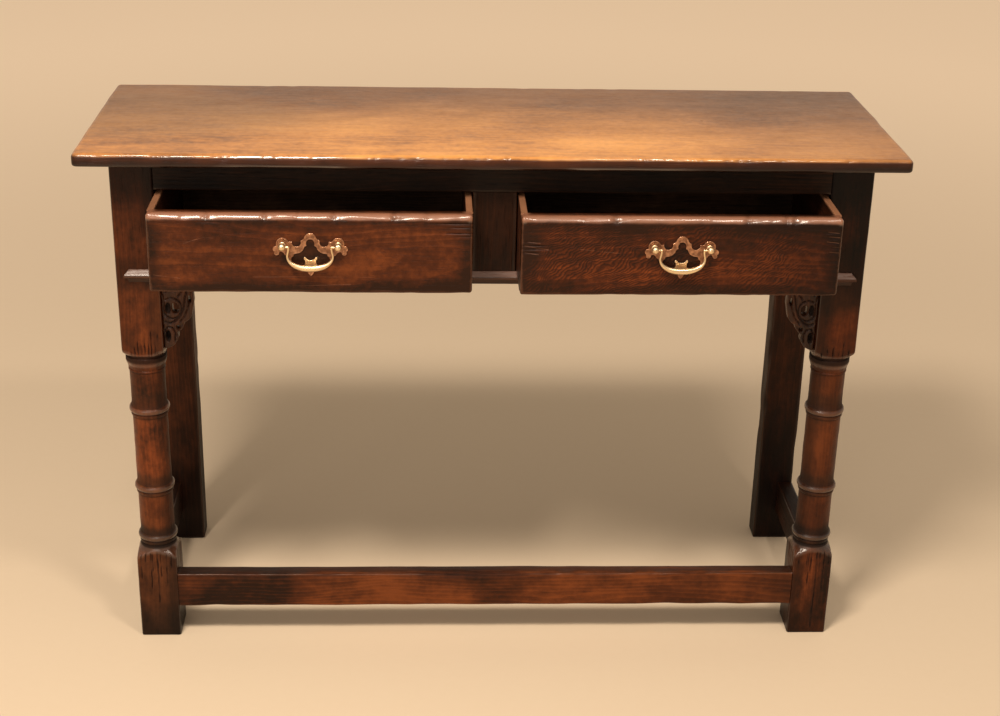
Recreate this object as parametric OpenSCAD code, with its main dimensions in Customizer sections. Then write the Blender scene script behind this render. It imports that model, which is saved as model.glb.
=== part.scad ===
// Serving table with two drawers, turned front legs and a low stretcher.
// X runs left to right, Y from the front to the back, Z up from the floor.

/* [Top] */
// Width of the top, left to right
top_w = 1220; // [1100:10:1400]
// Depth of the top, front to back
top_d = 406; // [390:2:480]
// Thickness of the top
top_t = 20; // [17:1:28]
// Height of the upper face above the floor
table_h = 830; // [790:5:880]
// How far the top stands out in front of the legs
front_overhang = 42; // [25:1:55]
// How far the top stands out beyond the legs at each end
end_overhang = 45; // [25:1:70]
// Radius of the top's corners in plan
top_corner_r = 8; // [6:1:16]
// Radius of the top's edges
top_edge_r = 4; // [2:0.5:6]

/* [Legs] */
// Side of a front leg's square blocks, and width of a rear leg
leg_w = 64; // [60:1:72]
// Depth of a rear leg
rear_leg_d = 42; // [40:1:54]
// Height of a front leg's foot block
foot_block_h = 161; // [140:1:175]
// Height of a front leg's top block, down from the underside of the top
top_block_h = 315; // [300:1:325]
// How far the rings stand out from the turned column
ring_stand = 4.5; // [3:0.5:6]
// How far a ring stays inside the faces of the blocks
ring_shy = 0.3; // [0.2:0.1:1]
// Height of a ring
ring_h = 31; // [26:1:36]
// Height of the middle ring's nose above the foot block
middle_ring_up = 104.5; // [88:0.5:118]
// Height of the upper ring's nose above the foot block
upper_ring_up = 240; // [215:0.5:245]
// Height of the turned neck under the top block
neck_h = 29; // [26:1:34]

/* [Frame] */
// Height of the rail above the drawers
upper_rail_h = 46; // [40:1:54]
// Thickness of the upper rail and of the centre muntin
upper_rail_t = 22; // [18:1:26]
// Height of the drawer openings
opening_h = 124; // [115:1:135]
// Thickness of the rail below the drawers
lower_rail_t = 20; // [18:1:24]
// Depth of the lower rail, front to back
lower_rail_d = 64; // [58:1:72]
// Width of the centre muntin
muntin_w = 66; // [58:1:80]
// How far the planted moulding stands out
moulding_out = 8; // [6:0.5:10]
// How far the moulding stays short of the legs' outer faces
moulding_short = 13; // [10:1:20]
// Thickness of the side and back aprons
apron_t = 20; // [18:1:24]
// How far the aprons are set in from the legs' outer faces
apron_inset = 2; // [1:0.5:5]
// Height of the stretchers
stretcher_h = 60; // [50:1:66]
// Thickness of the stretchers
stretcher_t = 27; // [24:1:32]
// Height of the stretchers' underside above the floor
stretcher_up = 55; // [45:1:70]
// Length of the tenons in the legs
tenon_l = 27; // [20:1:29]
// Thickness of the tenons
tenon_t = 9; // [8:0.5:11]
// Shoulder above and below each tenon
tenon_shoulder = 8; // [6:0.5:10]
// Length of the muntin's stub tenons
stub_l = 12; // [8:1:14]
// Space round each tenon in its mortise
joint_gap = 0.2; // [0.1:0.05:0.4]

/* [Brackets] */
// Width of the carved brackets along the lower rail
bracket_w = 52; // [46:1:64]
// Height of the carved brackets down the leg
bracket_h = 112; // [95:1:118]
// Thickness of the brackets
bracket_t = 16; // [12:1:20]
// How far the brackets are set back from the front of the legs
bracket_set = 8; // [4:1:16]

/* [Drawer running gear] */
// Thickness of the runners
runner_t = 20; // [16:1:24]
// Width of the strip that carries a drawer side
bearing_w = 21; // [18:1:26]
// Height of the guides above the runners
guide_h = 25; // [15:1:40]
// Thickness of the kickers above the drawers
kicker_t = 20; // [14:1:24]
// Width of a drawer stop
stop_w = 40; // [30:1:50]
// Depth of a drawer stop
stop_d = 20; // [15:1:24]
// Height of a drawer stop
stop_h = 7; // [5:0.5:8]
// Distance from a drawer's middle to its stops
stop_off = 120; // [80:5:150]
// Space between a stop and the closed drawer front
stop_gap = 0.3; // [0.2:0.1:1]

/* [Drawers] */
// How far the left drawer stands open
left_open = 99; // [20:1:180]
// How far the right drawer stands open
right_open = 103; // [20:1:180]
// Length of a drawer, front to back
drawer_l = 325; // [300:1:330]
// Space between a drawer and each side of its opening
side_gap = 1.5; // [1:0.1:2.5]
// Space between a drawer and the top of its opening
head_gap = 4; // [2:0.5:6]
// Space under the drawer front
front_gap = 1; // [0.5:0.1:2]
// Running space between the drawer sides and the runners
run_gap = 0.3; // [0.2:0.05:0.5]
// Thickness of the drawer fronts
front_t = 20; // [17:1:24]
// Radius of the drawer fronts' outer edges
front_edge_r = 4; // [2:0.5:6]
// Thickness of the drawer sides
side_t = 10; // [9:0.5:13]
// Thickness of the drawer backs
back_t = 10; // [8:0.5:13]
// How far a drawer back is set in from the ends of the sides
back_set = 12; // [8:1:20]
// How far a drawer back stays below the sides' upper edges
back_low = 6; // [3:1:12]
// Thickness of the drawer bottoms
panel_t = 6; // [4:0.5:8]
// Height of a drawer bottom above the sides' lower edges
panel_up = 9; // [8.5:0.5:12]
// Depth of the grooves that hold a drawer bottom
groove_d = 4; // [3:0.5:5]
// Length of the tongues that join the sides to the front
tongue_l = 7; // [5:0.5:9]
// Thickness of those tongues
tongue_t = 5; // [4:0.5:6]

/* [Handles] */
// Distance between the two posts of a handle
post_span = 80; // [74:1:90]
// Height of the posts above the drawer front's lower edge
handle_up = 74.3; // [66:0.1:84]
// Distance from the drawer face to the axis of the bail's pins
axis_out = 11.5; // [10:0.5:14]
// Radius of the posts' ball heads
ball_r = 5.5; // [4.5:0.25:6.5]
// Radius of the posts' shanks
shank_r = 2.4; // [2:0.1:3]
// Thickness of the backplate
plate_t = 1.6; // [1.2:0.1:2.4]
// Radius of the bail's pins
pin_r = 1.6; // [1.3:0.1:2]
// Running space round a pin in its ball
pin_gap = 0.06; // [0.04:0.01:0.08]
// How far the bail hangs below its pins, to the middle of the grip
bail_drop = 32; // [28:0.5:36]
// Radius of the grip at its middle
grip_r = 4.3; // [3:0.1:5]
// Radius of the bail's arms
arm_r = 1.5; // [1.2:0.1:2]
// Thickness of the nuts inside the drawer
nut_t = 3; // [2:0.5:5]

/* [Fixing of the top] */
// Thickness of a turn button
button_t = 12; // [10:1:16]
// Width of a turn button
button_w = 24; // [20:1:30]
// Length of a turn button, without its tongue
button_l = 30; // [24:1:36]
// Thickness of a button's tongue
button_tongue = 5; // [4:0.5:6]
// How far a button's tongue enters its slot
button_bite = 7; // [5:0.5:9]
// Distance of the outer buttons from the middle of the table
button_off = 300; // [200:10:340]
// Radius of the button screws
screw_r = 2; // [1.5:0.1:2.5]
// How far the screws enter the top
screw_bite = 12; // [8:1:14]

/* [Hidden] */
$fn = 48;

// Extra reach of a cutting tool
over = 1;
// Share by which an opening or a joint is cut deeper than the piece that enters it
mortise_spare = 1;

// Levels
under_top = table_h - top_t;
open_top = under_top - upper_rail_h;
open_bot = open_top - opening_h;
rail_under = open_bot - lower_rail_t;
stretcher_top = stretcher_up + stretcher_h;

// The handle's reach in front of a drawer face, and the whole table's depth
handle_out = axis_out + max(ball_r, grip_r);
depth_all = max(top_d, top_d - front_overhang + max(left_open, right_open) + handle_out);

// Places front to back, with the origin under the middle of the whole table
rear_y = depth_all / 2;
top_y = rear_y - top_d;
frame_y = top_y + front_overhang;
leg_back_y = frame_y + leg_w;
rear_leg_y = rear_y - rear_leg_d;
apron_y = rear_y - apron_inset - apron_t;

// Places left to right, on the right-hand side
leg_x = top_w / 2 - end_overhang;
leg_in = leg_x - leg_w;
apron_in = leg_x - apron_inset - apron_t;
muntin_x = muntin_w / 2;
opening_w = leg_in - muntin_x;

// Drawer sizes
drawer_w = opening_w - 2 * side_gap;
drawer_x = muntin_x + opening_w / 2;
front_bot = open_bot + front_gap;
drawer_top = open_top - head_gap;
drawer_bot = open_bot + run_gap;
panel_z = drawer_bot + panel_up;
handle_z = front_bot + handle_up;

wood_dark = [0.26, 0.13, 0.07];
wood_front = [0.33, 0.16, 0.08];
wood_top = [0.66, 0.40, 0.20];
wood_pale = [0.55, 0.36, 0.20];
brass = [0.80, 0.60, 0.28];
copper_brass = [0.66, 0.42, 0.26];
steel = [0.5, 0.5, 0.5];

// Points on an elliptical arc
function bow(c, rx, ry, a0, a1, n) =
    [for (i = [0 : n]) let (a = a0 + (a1 - a0) * i / n) [c[0] + rx * cos(a), c[1] + ry * sin(a)]];

// Points on a circular arc from p to q, without q; rise is its height, positive to the left of p-q
function arch(p, q, rise) =
    let (
        d = norm(q - p) / 2,
        along = (q - p) / (2 * d),
        left = [-along[1], along[0]],
        half = 2 * atan(abs(rise) / d),
        r = d / sin(half),
        n = max(2, ceil(half / 12))
    )
    [for (i = [0 : n - 1])
        let (a = -half + 2 * half * i / n)
        (p + q) / 2 + along * r * sin(a) + left * sign(rise) * r * (cos(a) - cos(half))];

// Outline through corners [x, y, rise of the arc to the next corner]; a closed one ends where it began
function outline(corners, closed) =
    [for (i = [0 : len(corners) - (closed ? 1 : 2)])
        let (
            p = corners[i],
            q = corners[(i + 1) % len(corners)],
            a = [p[0], p[1]],
            b = [q[0], q[1]]
        )
        each (p[2] == 0 ? [a] : arch(a, b, p[2]))];

// A closed outline from its right half, which runs from the top middle to the bottom middle
function both_halves(right) =
    concat(right, [for (i = [len(right) - 2 : -1 : 1]) [-right[i][0], right[i][1]]]);

// A box from its lowest and highest corners
module block(low, high) {
    translate(low)
        cube(high - low);
}

// The same box on the right (side 1) or the left (side -1)
module side_block(side, low, high) {
    if (side > 0)
        block(low, high);
    else
        block([-high[0], low[1], low[2]], [-low[0], high[1], high[2]]);
}

module rounded_rectangle(w, d, r) {
    square([w - 2 * r, d], center = true);
    square([w, d - 2 * r], center = true);
    for (x = [-1, 1], y = [-1, 1])
        translate([x * (w / 2 - r), y * (d / 2 - r)])
            circle(r);
}

// The top, with its corners rounded in plan and its edges rounded in section
module table_top() {
    color(wood_top)
    difference() {
        translate([0, top_y + top_d / 2, under_top])
            intersection() {
                linear_extrude(top_t)
                    rounded_rectangle(top_w, top_d, top_corner_r);
                translate([-top_w / 2, 0, top_t / 2])
                    rotate([90, 0, 90])
                        linear_extrude(top_w)
                            rounded_rectangle(top_d, top_t, top_edge_r);
                translate([0, top_d / 2, top_t / 2])
                    rotate([90, 0, 0])
                        linear_extrude(top_d)
                            rounded_rectangle(top_w, top_t, top_edge_r);
            }
        at_buttons()
            translate([0, button_l / 2, under_top - over])
                cylinder(r = screw_r + joint_gap / 2, h = screw_bite + mortise_spare + over);
    }
}

// The turned column's radius, its rings' radius and the profile's reach past the block's corners
ring_r = leg_w / 2 - ring_shy;
column_r = ring_r - ring_stand;
block_reach = leg_w;
foot_slope = 0.38;
block_slope = 0.8;
top_block_z = under_top - top_block_h;
lower_ring_up = (leg_w / 2 - column_r) * foot_slope + 0.38 * ring_h + 2.9;

// One ring round its nose at height z: a flat bead below, the nose, and a hollow flare above it
function ring(z) =
    concat(
        bow([column_r, z - 0.27 * ring_h], 0.45 * ring_stand, 0.11 * ring_h, -90, 60, 5),
        bow([column_r + 0.3 * ring_stand, z - 0.01 * ring_h], 0.7 * ring_stand, 0.14 * ring_h, -70, 55, 7),
        bow([column_r + 0.7 * ring_stand, z + 0.46 * ring_h], 0.7 * ring_stand, 0.355 * ring_h, -90, -180, 5)
    );

// The neck from below: a small bead, a quirk, a flare and a plain band
function neck(z) =
    concat(
        bow([column_r, z + 2.2], 1.2, 2, -90, 80, 4),
        [
            [column_r + 0.3, z + 4.5],
            [column_r + 0.3 * ring_stand, z + 7.6],
            [column_r + 0.54 * ring_stand, z + 11],
            [column_r + 0.82 * ring_stand, z + 14.6],
            [ring_r, z + 17.5]
        ]
    );

// Radius and height along a front leg, from the floor up
leg_profile = concat(
    [
        [0, 0],
        [block_reach, 0],
        [block_reach, foot_block_h - (block_reach - leg_w / 2) * foot_slope],
        [ring_r - 1.2, foot_block_h + 1.5 * foot_slope],
        [column_r + 1, foot_block_h + (leg_w / 2 - column_r - 1) * foot_slope]
    ],
    ring(foot_block_h + lower_ring_up),
    ring(foot_block_h + middle_ring_up),
    ring(foot_block_h + upper_ring_up),
    neck(top_block_z - neck_h),
    [
        [ring_r, top_block_z - 4],
        [ring_r - 1.4, top_block_z - 3],
        [ring_r - 1.4, top_block_z - 0.6],
        [ring_r, top_block_z],
        [block_reach, top_block_z + (block_reach - leg_w / 2) * block_slope],
        [block_reach, under_top],
        [0, under_top]
    ]
);

// Mortises that a front leg holds, on the right-hand side
module front_mortises(side) {
    gap = joint_gap;
    deep = tenon_l + mortise_spare;
    side_block(side,
        [leg_in - over, frame_y + (upper_rail_t - tenon_t) / 2 - gap, open_top + tenon_shoulder - gap],
        [leg_in + deep, frame_y + (upper_rail_t + tenon_t) / 2 + gap, under_top - tenon_shoulder + gap]);
    side_block(side,
        [leg_in - over, frame_y + tenon_shoulder - gap, open_bot - (lower_rail_t + tenon_t) / 2 - gap],
        [leg_in + deep, leg_back_y - tenon_shoulder * 2 + gap, open_bot - (lower_rail_t - tenon_t) / 2 + gap]);
    side_block(side,
        [apron_in + (apron_t - tenon_t) / 2 - gap, leg_back_y - deep, rail_under + tenon_shoulder - gap],
        [apron_in + (apron_t + tenon_t) / 2 + gap, leg_back_y + over, under_top - tenon_shoulder + gap]);
    side_block(side,
        [leg_in - over, frame_y + (stretcher_t - tenon_t) / 2 - gap, stretcher_up + tenon_shoulder - gap],
        [leg_in + deep, frame_y + (stretcher_t + tenon_t) / 2 + gap, stretcher_top - tenon_shoulder + gap]);
    side_block(side,
        [leg_x - (stretcher_t + tenon_t) / 2 - gap, leg_back_y - deep, stretcher_up + tenon_shoulder - gap],
        [leg_x - (stretcher_t - tenon_t) / 2 + gap, leg_back_y + over, stretcher_top - tenon_shoulder + gap]);
}

module front_leg(side) {
    color(wood_dark)
    difference() {
        translate([side * (leg_x - leg_w / 2), frame_y + leg_w / 2, 0])
            intersection() {
                translate([-leg_w / 2, -leg_w / 2, 0])
                    cube([leg_w, leg_w, under_top]);
                rotate_extrude()
                    polygon(leg_profile);
            }
        front_mortises(side);
    }
}

module rear_leg(side) {
    gap = joint_gap;
    deep = tenon_l + mortise_spare;
    color(wood_dark)
    difference() {
        side_block(side, [leg_in, rear_leg_y, 0], [leg_x, rear_y, under_top]);
        side_block(side,
            [leg_in - over, apron_y + (apron_t - tenon_t) / 2 - gap, rail_under + tenon_shoulder - gap],
            [leg_in + deep, apron_y + (apron_t + tenon_t) / 2 + gap, under_top - tenon_shoulder + gap]);
        side_block(side,
            [apron_in + (apron_t - tenon_t) / 2 - gap, rear_leg_y - over, rail_under + tenon_shoulder - gap],
            [apron_in + (apron_t + tenon_t) / 2 + gap, rear_leg_y + deep, under_top - tenon_shoulder + gap]);
        side_block(side,
            [leg_x - (stretcher_t + tenon_t) / 2 - gap, rear_leg_y - over, stretcher_up + tenon_shoulder - gap],
            [leg_x - (stretcher_t - tenon_t) / 2 + gap, rear_leg_y + deep, stretcher_top - tenon_shoulder + gap]);
    }
}

module upper_front_rail() {
    color(wood_dark)
    difference() {
        union() {
            block([-leg_in, frame_y, open_top], [leg_in, frame_y + upper_rail_t, under_top]);
            block(
                [-leg_in - tenon_l, frame_y + (upper_rail_t - tenon_t) / 2, open_top + tenon_shoulder],
                [leg_in + tenon_l, frame_y + (upper_rail_t + tenon_t) / 2, under_top - tenon_shoulder]);
        }
        muntin_mortise(open_top - over, open_top + stub_l + mortise_spare);
        button_slots();
    }
}

module lower_front_rail() {
    color(wood_dark)
    difference() {
        union() {
            block([-leg_in, frame_y, rail_under], [leg_in, frame_y + lower_rail_d, open_bot]);
            block(
                [-leg_in - tenon_l, frame_y + tenon_shoulder, open_bot - (lower_rail_t + tenon_t) / 2],
                [leg_in + tenon_l, leg_back_y - tenon_shoulder * 2, open_bot - (lower_rail_t - tenon_t) / 2]);
        }
        muntin_mortise(open_bot - stub_l - mortise_spare, open_bot + over);
    }
}

module muntin_mortise(low, high) {
    gap = joint_gap;
    block(
        [-muntin_x + tenon_shoulder - gap, frame_y + (upper_rail_t - tenon_t) / 2 - gap, low],
        [muntin_x - tenon_shoulder + gap, frame_y + (upper_rail_t + tenon_t) / 2 + gap, high]);
}

module centre_muntin() {
    color(wood_dark) {
        block([-muntin_x, frame_y, open_bot], [muntin_x, frame_y + upper_rail_t, open_top]);
        block(
            [-muntin_x + tenon_shoulder, frame_y + (upper_rail_t - tenon_t) / 2, open_bot - stub_l],
            [muntin_x - tenon_shoulder, frame_y + (upper_rail_t + tenon_t) / 2, open_top + stub_l]);
    }
}

// Height and projection of the moulding: a bevel above, a nose and a hollow below
nose_h = 3;
hollow_r = min(moulding_out - 2, lower_rail_t - moulding_out - nose_h - 1);
moulding_edge = concat(
    [[0, lower_rail_t], [moulding_out, lower_rail_t - moulding_out]],
    [[moulding_out, lower_rail_t - moulding_out - nose_h]],
    bow([moulding_out, lower_rail_t - moulding_out - nose_h - hollow_r - 1], hollow_r, hollow_r, 90, 180, 5),
    [[moulding_out - hollow_r, 0], [0, 0]]
);

module rail_moulding() {
    half = leg_x - moulding_short;
    back = 2 * moulding_out;
    color(wood_dark)
    intersection() {
        translate([-half, frame_y, rail_under])
            rotate([90, 0, 90])
                linear_extrude(2 * half)
                    polygon([for (p = moulding_edge) [-p[0], p[1]]]);
        translate([0, frame_y + back / 2, rail_under])
            rotate([90, 0, 0])
                linear_extrude(2 * back)
                    polygon(concat(
                        [for (p = moulding_edge) [half - moulding_out + p[0], p[1]]],
                        [for (i = [len(moulding_edge) - 1 : -1 : 0])
                            let (p = moulding_edge[i])
                            [-half + moulding_out - p[0], p[1]]]
                    ));
    }
}

module side_apron(side) {
    color(wood_dark)
    difference() {
        union() {
            side_block(side,
                [apron_in, leg_back_y, rail_under],
                [apron_in + apron_t, rear_leg_y, under_top]);
            side_block(side,
                [apron_in + (apron_t - tenon_t) / 2, leg_back_y - tenon_l, rail_under + tenon_shoulder],
                [apron_in + (apron_t + tenon_t) / 2, rear_leg_y + tenon_l, under_top - tenon_shoulder]);
        }
        button_slots();
    }
}

module back_apron() {
    color(wood_dark)
    difference() {
        union() {
            block([-leg_in, apron_y, rail_under], [leg_in, apron_y + apron_t, under_top]);
            block(
                [-leg_in - tenon_l, apron_y + (apron_t - tenon_t) / 2, rail_under + tenon_shoulder],
                [leg_in + tenon_l, apron_y + (apron_t + tenon_t) / 2, under_top - tenon_shoulder]);
        }
        button_slots();
    }
}

module front_stretcher() {
    color(wood_dark) {
        block([-leg_in, frame_y, stretcher_up], [leg_in, frame_y + stretcher_t, stretcher_top]);
        block(
            [-leg_in - tenon_l, frame_y + (stretcher_t - tenon_t) / 2, stretcher_up + tenon_shoulder],
            [leg_in + tenon_l, frame_y + (stretcher_t + tenon_t) / 2, stretcher_top - tenon_shoulder]);
    }
}

module side_stretcher(side) {
    color(wood_dark) {
        side_block(side,
            [leg_x - stretcher_t, leg_back_y, stretcher_up],
            [leg_x, rear_leg_y, stretcher_top]);
        side_block(side,
            [leg_x - (stretcher_t + tenon_t) / 2, leg_back_y - tenon_l, stretcher_up + tenon_shoulder],
            [leg_x - (stretcher_t - tenon_t) / 2, rear_leg_y + tenon_l, stretcher_top - tenon_shoulder]);
    }
}

// Leafy outline of a bracket: shares of its width from the leg and of its height from the rail
bracket_leaf = [
    [0, 0, 0],
    [0.97, 0, -2],
    [0.91, -0.13, 2.5],
    [0.86, -0.5, 2.5],
    [0.63, -0.62, 2],
    [0.47, -0.75, 0],
    [0.4, -0.78, 2.2],
    [0.37, -0.9, 1.5],
    [0.2, -0.98, 0],
    [0.12, -1, 0],
    [0, -1, 0]
];

module bracket(side) {
    corners = [for (p = bracket_leaf) [p[0] * bracket_w, p[1] * bracket_h, p[2]]];
    color(wood_dark)
    mirrored(side)
    translate([leg_in, frame_y + bracket_set + bracket_t, rail_under])
        rotate([90, 0, 0])
            linear_extrude(bracket_t)
                mirror([1, 0])
                    difference() {
                        polygon(outline(corners, true));
                        slot([0.29 * bracket_w, -0.41 * bracket_h], 9, 4);
                        slot([0.81 * bracket_w, -0.28 * bracket_h], 2.2, 6);
                        slot([0.14 * bracket_w, -0.82 * bracket_h], 3.4, 9);
                        slot([0.44 * bracket_w, -0.69 * bracket_h], 2.2, 2);
                    }
}

// An upright slot of the given radius; rise is the distance between its two centres
module slot(centre, r, rise) {
    for (z = [-1, 1])
        translate(centre + [0, z * rise / 2])
            circle(r);
    translate(centre)
        square([2 * r, rise], center = true);
}

// What is drawn on the right, mirrored when side is -1
module mirrored(side) {
    if (side > 0)
        children();
    else
        mirror([1, 0, 0])
            children();
}

// An outer runner with its guide: a strip beside the leg, widened to the apron between the legs
module outer_runner(side) {
    color(wood_pale)
    difference() {
        union() {
            side_block(side,
                [leg_in - bearing_w, frame_y + lower_rail_d, open_bot - runner_t],
                [leg_in, apron_y, open_bot]);
            side_block(side,
                [leg_in - over, max(leg_back_y, frame_y + lower_rail_d), open_bot - runner_t],
                [apron_in, rear_leg_y, open_bot]);
            side_block(side,
                [leg_in, max(leg_back_y, frame_y + lower_rail_d), open_bot - over],
                [apron_in, rear_leg_y, open_bot + guide_h]);
        }
    }
}

module runner_centre() {
    color(wood_pale)
    block(
        [-muntin_x - bearing_w, frame_y + lower_rail_d, open_bot - runner_t],
        [muntin_x + bearing_w, apron_y, open_bot]);
}

module centre_guide() {
    color(wood_pale)
    block([-muntin_x, frame_y + upper_rail_t, open_bot], [muntin_x, apron_y, open_bot + guide_h]);
}

module outer_kicker(side) {
    color(wood_pale)
    side_block(side,
        [leg_in - bearing_w, frame_y + upper_rail_t, open_top],
        [leg_in, apron_y, open_top + kicker_t]);
}

module kicker_centre() {
    color(wood_pale)
    block(
        [-muntin_x - bearing_w, frame_y + upper_rail_t, open_top],
        [muntin_x + bearing_w, apron_y, open_top + kicker_t]);
}

module drawer_stops() {
    stop_y = frame_y + front_t + stop_gap;
    color(wood_pale)
    for (side = [-1, 1], end = [-1, 1])
        translate([side * drawer_x + end * stop_off - stop_w / 2, stop_y, open_bot])
            cube([stop_w, stop_d, stop_h]);
}

// Each button's place: the rail's inner face is at y 0 and the table's inside is towards +y
module at_buttons() {
    for (x = [-button_off, 0, button_off]) {
        translate([x, frame_y + upper_rail_t, 0])
            children();
        translate([x, apron_y, 0])
            rotate([0, 0, 180])
                children();
    }
    for (side = [-1, 1])
        translate([side * apron_in, (leg_back_y + rear_leg_y) / 2, 0])
            rotate([0, 0, side * 90])
                children();
}

module button_slots() {
    at_buttons()
        block(
            [-button_w / 2 - over, -button_bite - mortise_spare, under_top - button_t - over / 2],
            [button_w / 2 + over, over, under_top - button_t + button_tongue]);
}

module top_buttons() {
    color(wood_pale)
    at_buttons()
        difference() {
            union() {
                block([-button_w / 2, joint_gap, under_top - button_t], [button_w / 2, button_l, under_top]);
                block(
                    [-button_w / 2, -button_bite, under_top - button_t],
                    [button_w / 2, over, under_top - button_t + button_tongue]);
            }
            translate([0, button_l / 2, under_top - button_t - over])
                cylinder(r = screw_r + joint_gap / 2, h = button_t + 2 * over);
        }
}

module button_screws() {
    color(steel)
    at_buttons()
        translate([0, button_l / 2, under_top - button_t]) {
            cylinder(r = screw_r, h = button_t + screw_bite);
            translate([0, 0, -1.2 * screw_r])
                cylinder(r = 2 * screw_r, h = 1.2 * screw_r);
        }
}

// A drawer is drawn round x 0 with its front face at y 0; side is where it stands
module at_drawer(side) {
    translate([side * drawer_x, frame_y - (side > 0 ? right_open : left_open), 0])
        children();
}

module drawer_front(side) {
    inner = drawer_w / 2 - side_t;
    mid = drawer_w / 2 - side_t / 2;
    tongue = tongue_t / 2 + joint_gap;
    height = drawer_top - front_bot;
    color(wood_front)
    at_drawer(side)
    difference() {
        intersection() {
            translate([-drawer_w / 2, front_t, front_bot + height / 2])
                rotate([90, 0, 90])
                    linear_extrude(drawer_w)
                        rounded_rectangle(2 * front_t, height, front_edge_r);
            translate([0, front_t, front_bot])
                linear_extrude(height)
                    rounded_rectangle(drawer_w, 2 * front_t, front_edge_r);
            block([-drawer_w, -over, 0], [drawer_w, front_t, table_h]);
        }
        for (end = [-1, 1]) {
            side_block(end,
                [mid - tongue, front_t - tongue_l - mortise_spare, front_bot - over],
                [mid + tongue, front_t + over, drawer_top - tenon_shoulder + joint_gap]);
            translate([end * post_span / 2, -over, handle_z])
                rotate([-90, 0, 0])
                    cylinder(r = shank_r + joint_gap / 2, h = front_t + 2 * over);
        }
        block(
            [-inner - groove_d - joint_gap, front_t - groove_d - mortise_spare, panel_z - joint_gap / 2],
            [inner + groove_d + joint_gap, front_t + over, panel_z + panel_t + joint_gap / 2]);
    }
}

module drawer_side(side, end) {
    inner = drawer_w / 2 - side_t;
    mid = drawer_w / 2 - side_t / 2;
    back_y = drawer_l - back_set - back_t;
    color(wood_front)
    at_drawer(side)
    difference() {
        union() {
            side_block(end, [inner, front_t, drawer_bot], [drawer_w / 2, drawer_l, drawer_top]);
            side_block(end,
                [mid - tongue_t / 2, front_t - tongue_l, drawer_bot + front_gap],
                [mid + tongue_t / 2, front_t + over, drawer_top - tenon_shoulder]);
        }
        side_block(end,
            [inner - over, front_t - tongue_l - over, panel_z - joint_gap / 2],
            [inner + groove_d + joint_gap, drawer_l + over, panel_z + panel_t + joint_gap / 2]);
        side_block(end,
            [inner - over, back_y - joint_gap / 2, panel_z + panel_t],
            [inner + groove_d + joint_gap, back_y + back_t + joint_gap / 2, drawer_top + over]);
    }
}

module drawer_back(side) {
    reach = drawer_w / 2 - side_t + groove_d;
    back_y = drawer_l - back_set - back_t;
    color(wood_pale)
    at_drawer(side)
    block([-reach, back_y, panel_z + panel_t], [reach, back_y + back_t, drawer_top - back_low]);
}

module drawer_bottom(side) {
    reach = drawer_w / 2 - side_t + groove_d;
    color(wood_pale)
    at_drawer(side)
    block([-reach, front_t - groove_d, panel_z], [reach, drawer_l - back_set, panel_z + panel_t]);
}

// A handle is drawn round the middle of its posts, with the drawer face at y 0
module at_handle(side) {
    at_drawer(side)
        translate([0, 0, handle_z])
            children();
}

// Right half of the backplate's outer edge, from the middle of the arch down to the pendant.
// Each corner is [x, z, rise of the arc to the next]; x goes with the post where it is near one.
post_x = post_span / 2;
plate_edge = [
    [0, 17.8, 2.1],
    [9, 10, -0.5],
    [post_x - 26, 6.4, -8.4],
    [post_x - 13.8, 4.9, -0.4],
    [post_x - 8.8, 4.9, 8.8],
    [post_x + 8.4, -1.4, 0],
    [post_x + 10.3, -2.2, 2.4],
    [post_x + 12.2, -9.8, 0],
    [post_x + 11.4, -10.4, 4.8],
    [post_x + 4.6, -12.2, 0],
    [post_x + 3.6, -10.8, -0.8],
    [post_x - 1.8, -12.4, 0.8],
    [post_x - 6.6, -17, 2.4],
    [post_x - 18, -31.6, 1.6],
    [8.6, -37.8, -0.8],
    [5, -40.4, 0.6],
    [0, -47.6, 0]
];

// Right half of the edge of the opening in the backplate, from the top of the keyhole down
keyhole_edge = [
    [0, 8.6, 1.7],
    [5.7, 2.8, 0.4],
    [5.2, -1, -0.3],
    [6.8, -1.8, 0],
    [8.6, -3.4, -2],
    [post_x - 22, -13, 0.3],
    [post_x - 16.4, -14.2, 0],
    [post_x - 15.8, -17.2, 0.5],
    [post_x - 12.6, -20.4, 2.6],
    [post_x - 19.6, -29.8, 0.8],
    [11.4, -31.6, 0.9],
    [7.9, -27, 0],
    [7.8, -23.4, -0.6],
    [9.6, -20.5, -1.2],
    [7, -18.9, 0],
    [5.4, -21.4, 0.4],
    [0, -23.2, 0]
];

function half_outline(corners) =
    concat(outline(corners, false), [[0, corners[len(corners) - 1][1]]]);

module handle_plate(side) {
    color(copper_brass)
    at_handle(side)
    rotate([90, 0, 0])
        linear_extrude(plate_t)
            difference() {
                polygon(both_halves(half_outline(plate_edge)));
                polygon(both_halves(half_outline(keyhole_edge)));
                for (end = [-1, 1])
                    translate([end * post_x, 0])
                        circle(shank_r + joint_gap / 2);
            }
}

// Each post: a shank through the drawer front, a collar, a neck and a ball with a blind hole
module handle_posts(side) {
    neck_r = 0.55 * ball_r;
    shank_end = front_t + nut_t + 2;
    collar_t = 1.2;
    color(brass)
    at_handle(side)
    for (end = [-1, 1])
        difference() {
            translate([end * post_x, 0, 0]) {
                translate([0, -axis_out, 0])
                    rotate([-90, 0, 0]) {
                        cylinder(r = shank_r, h = axis_out + shank_end);
                        cylinder(r = neck_r, h = axis_out - plate_t);
                        translate([0, 0, axis_out - plate_t - collar_t])
                            cylinder(r = 0.8 * ball_r, h = collar_t);
                    }
                translate([0, -axis_out, 0])
                    sphere(ball_r);
            }
            translate([end * (post_x - ball_r - over), -axis_out, 0])
                rotate([0, end * 90, 0])
                    cylinder(r = pin_r + pin_gap, h = ball_r + over + pin_in + mortise_spare);
        }
}

// How far a pin reaches past the post's axis
pin_in = 1.5;

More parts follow.
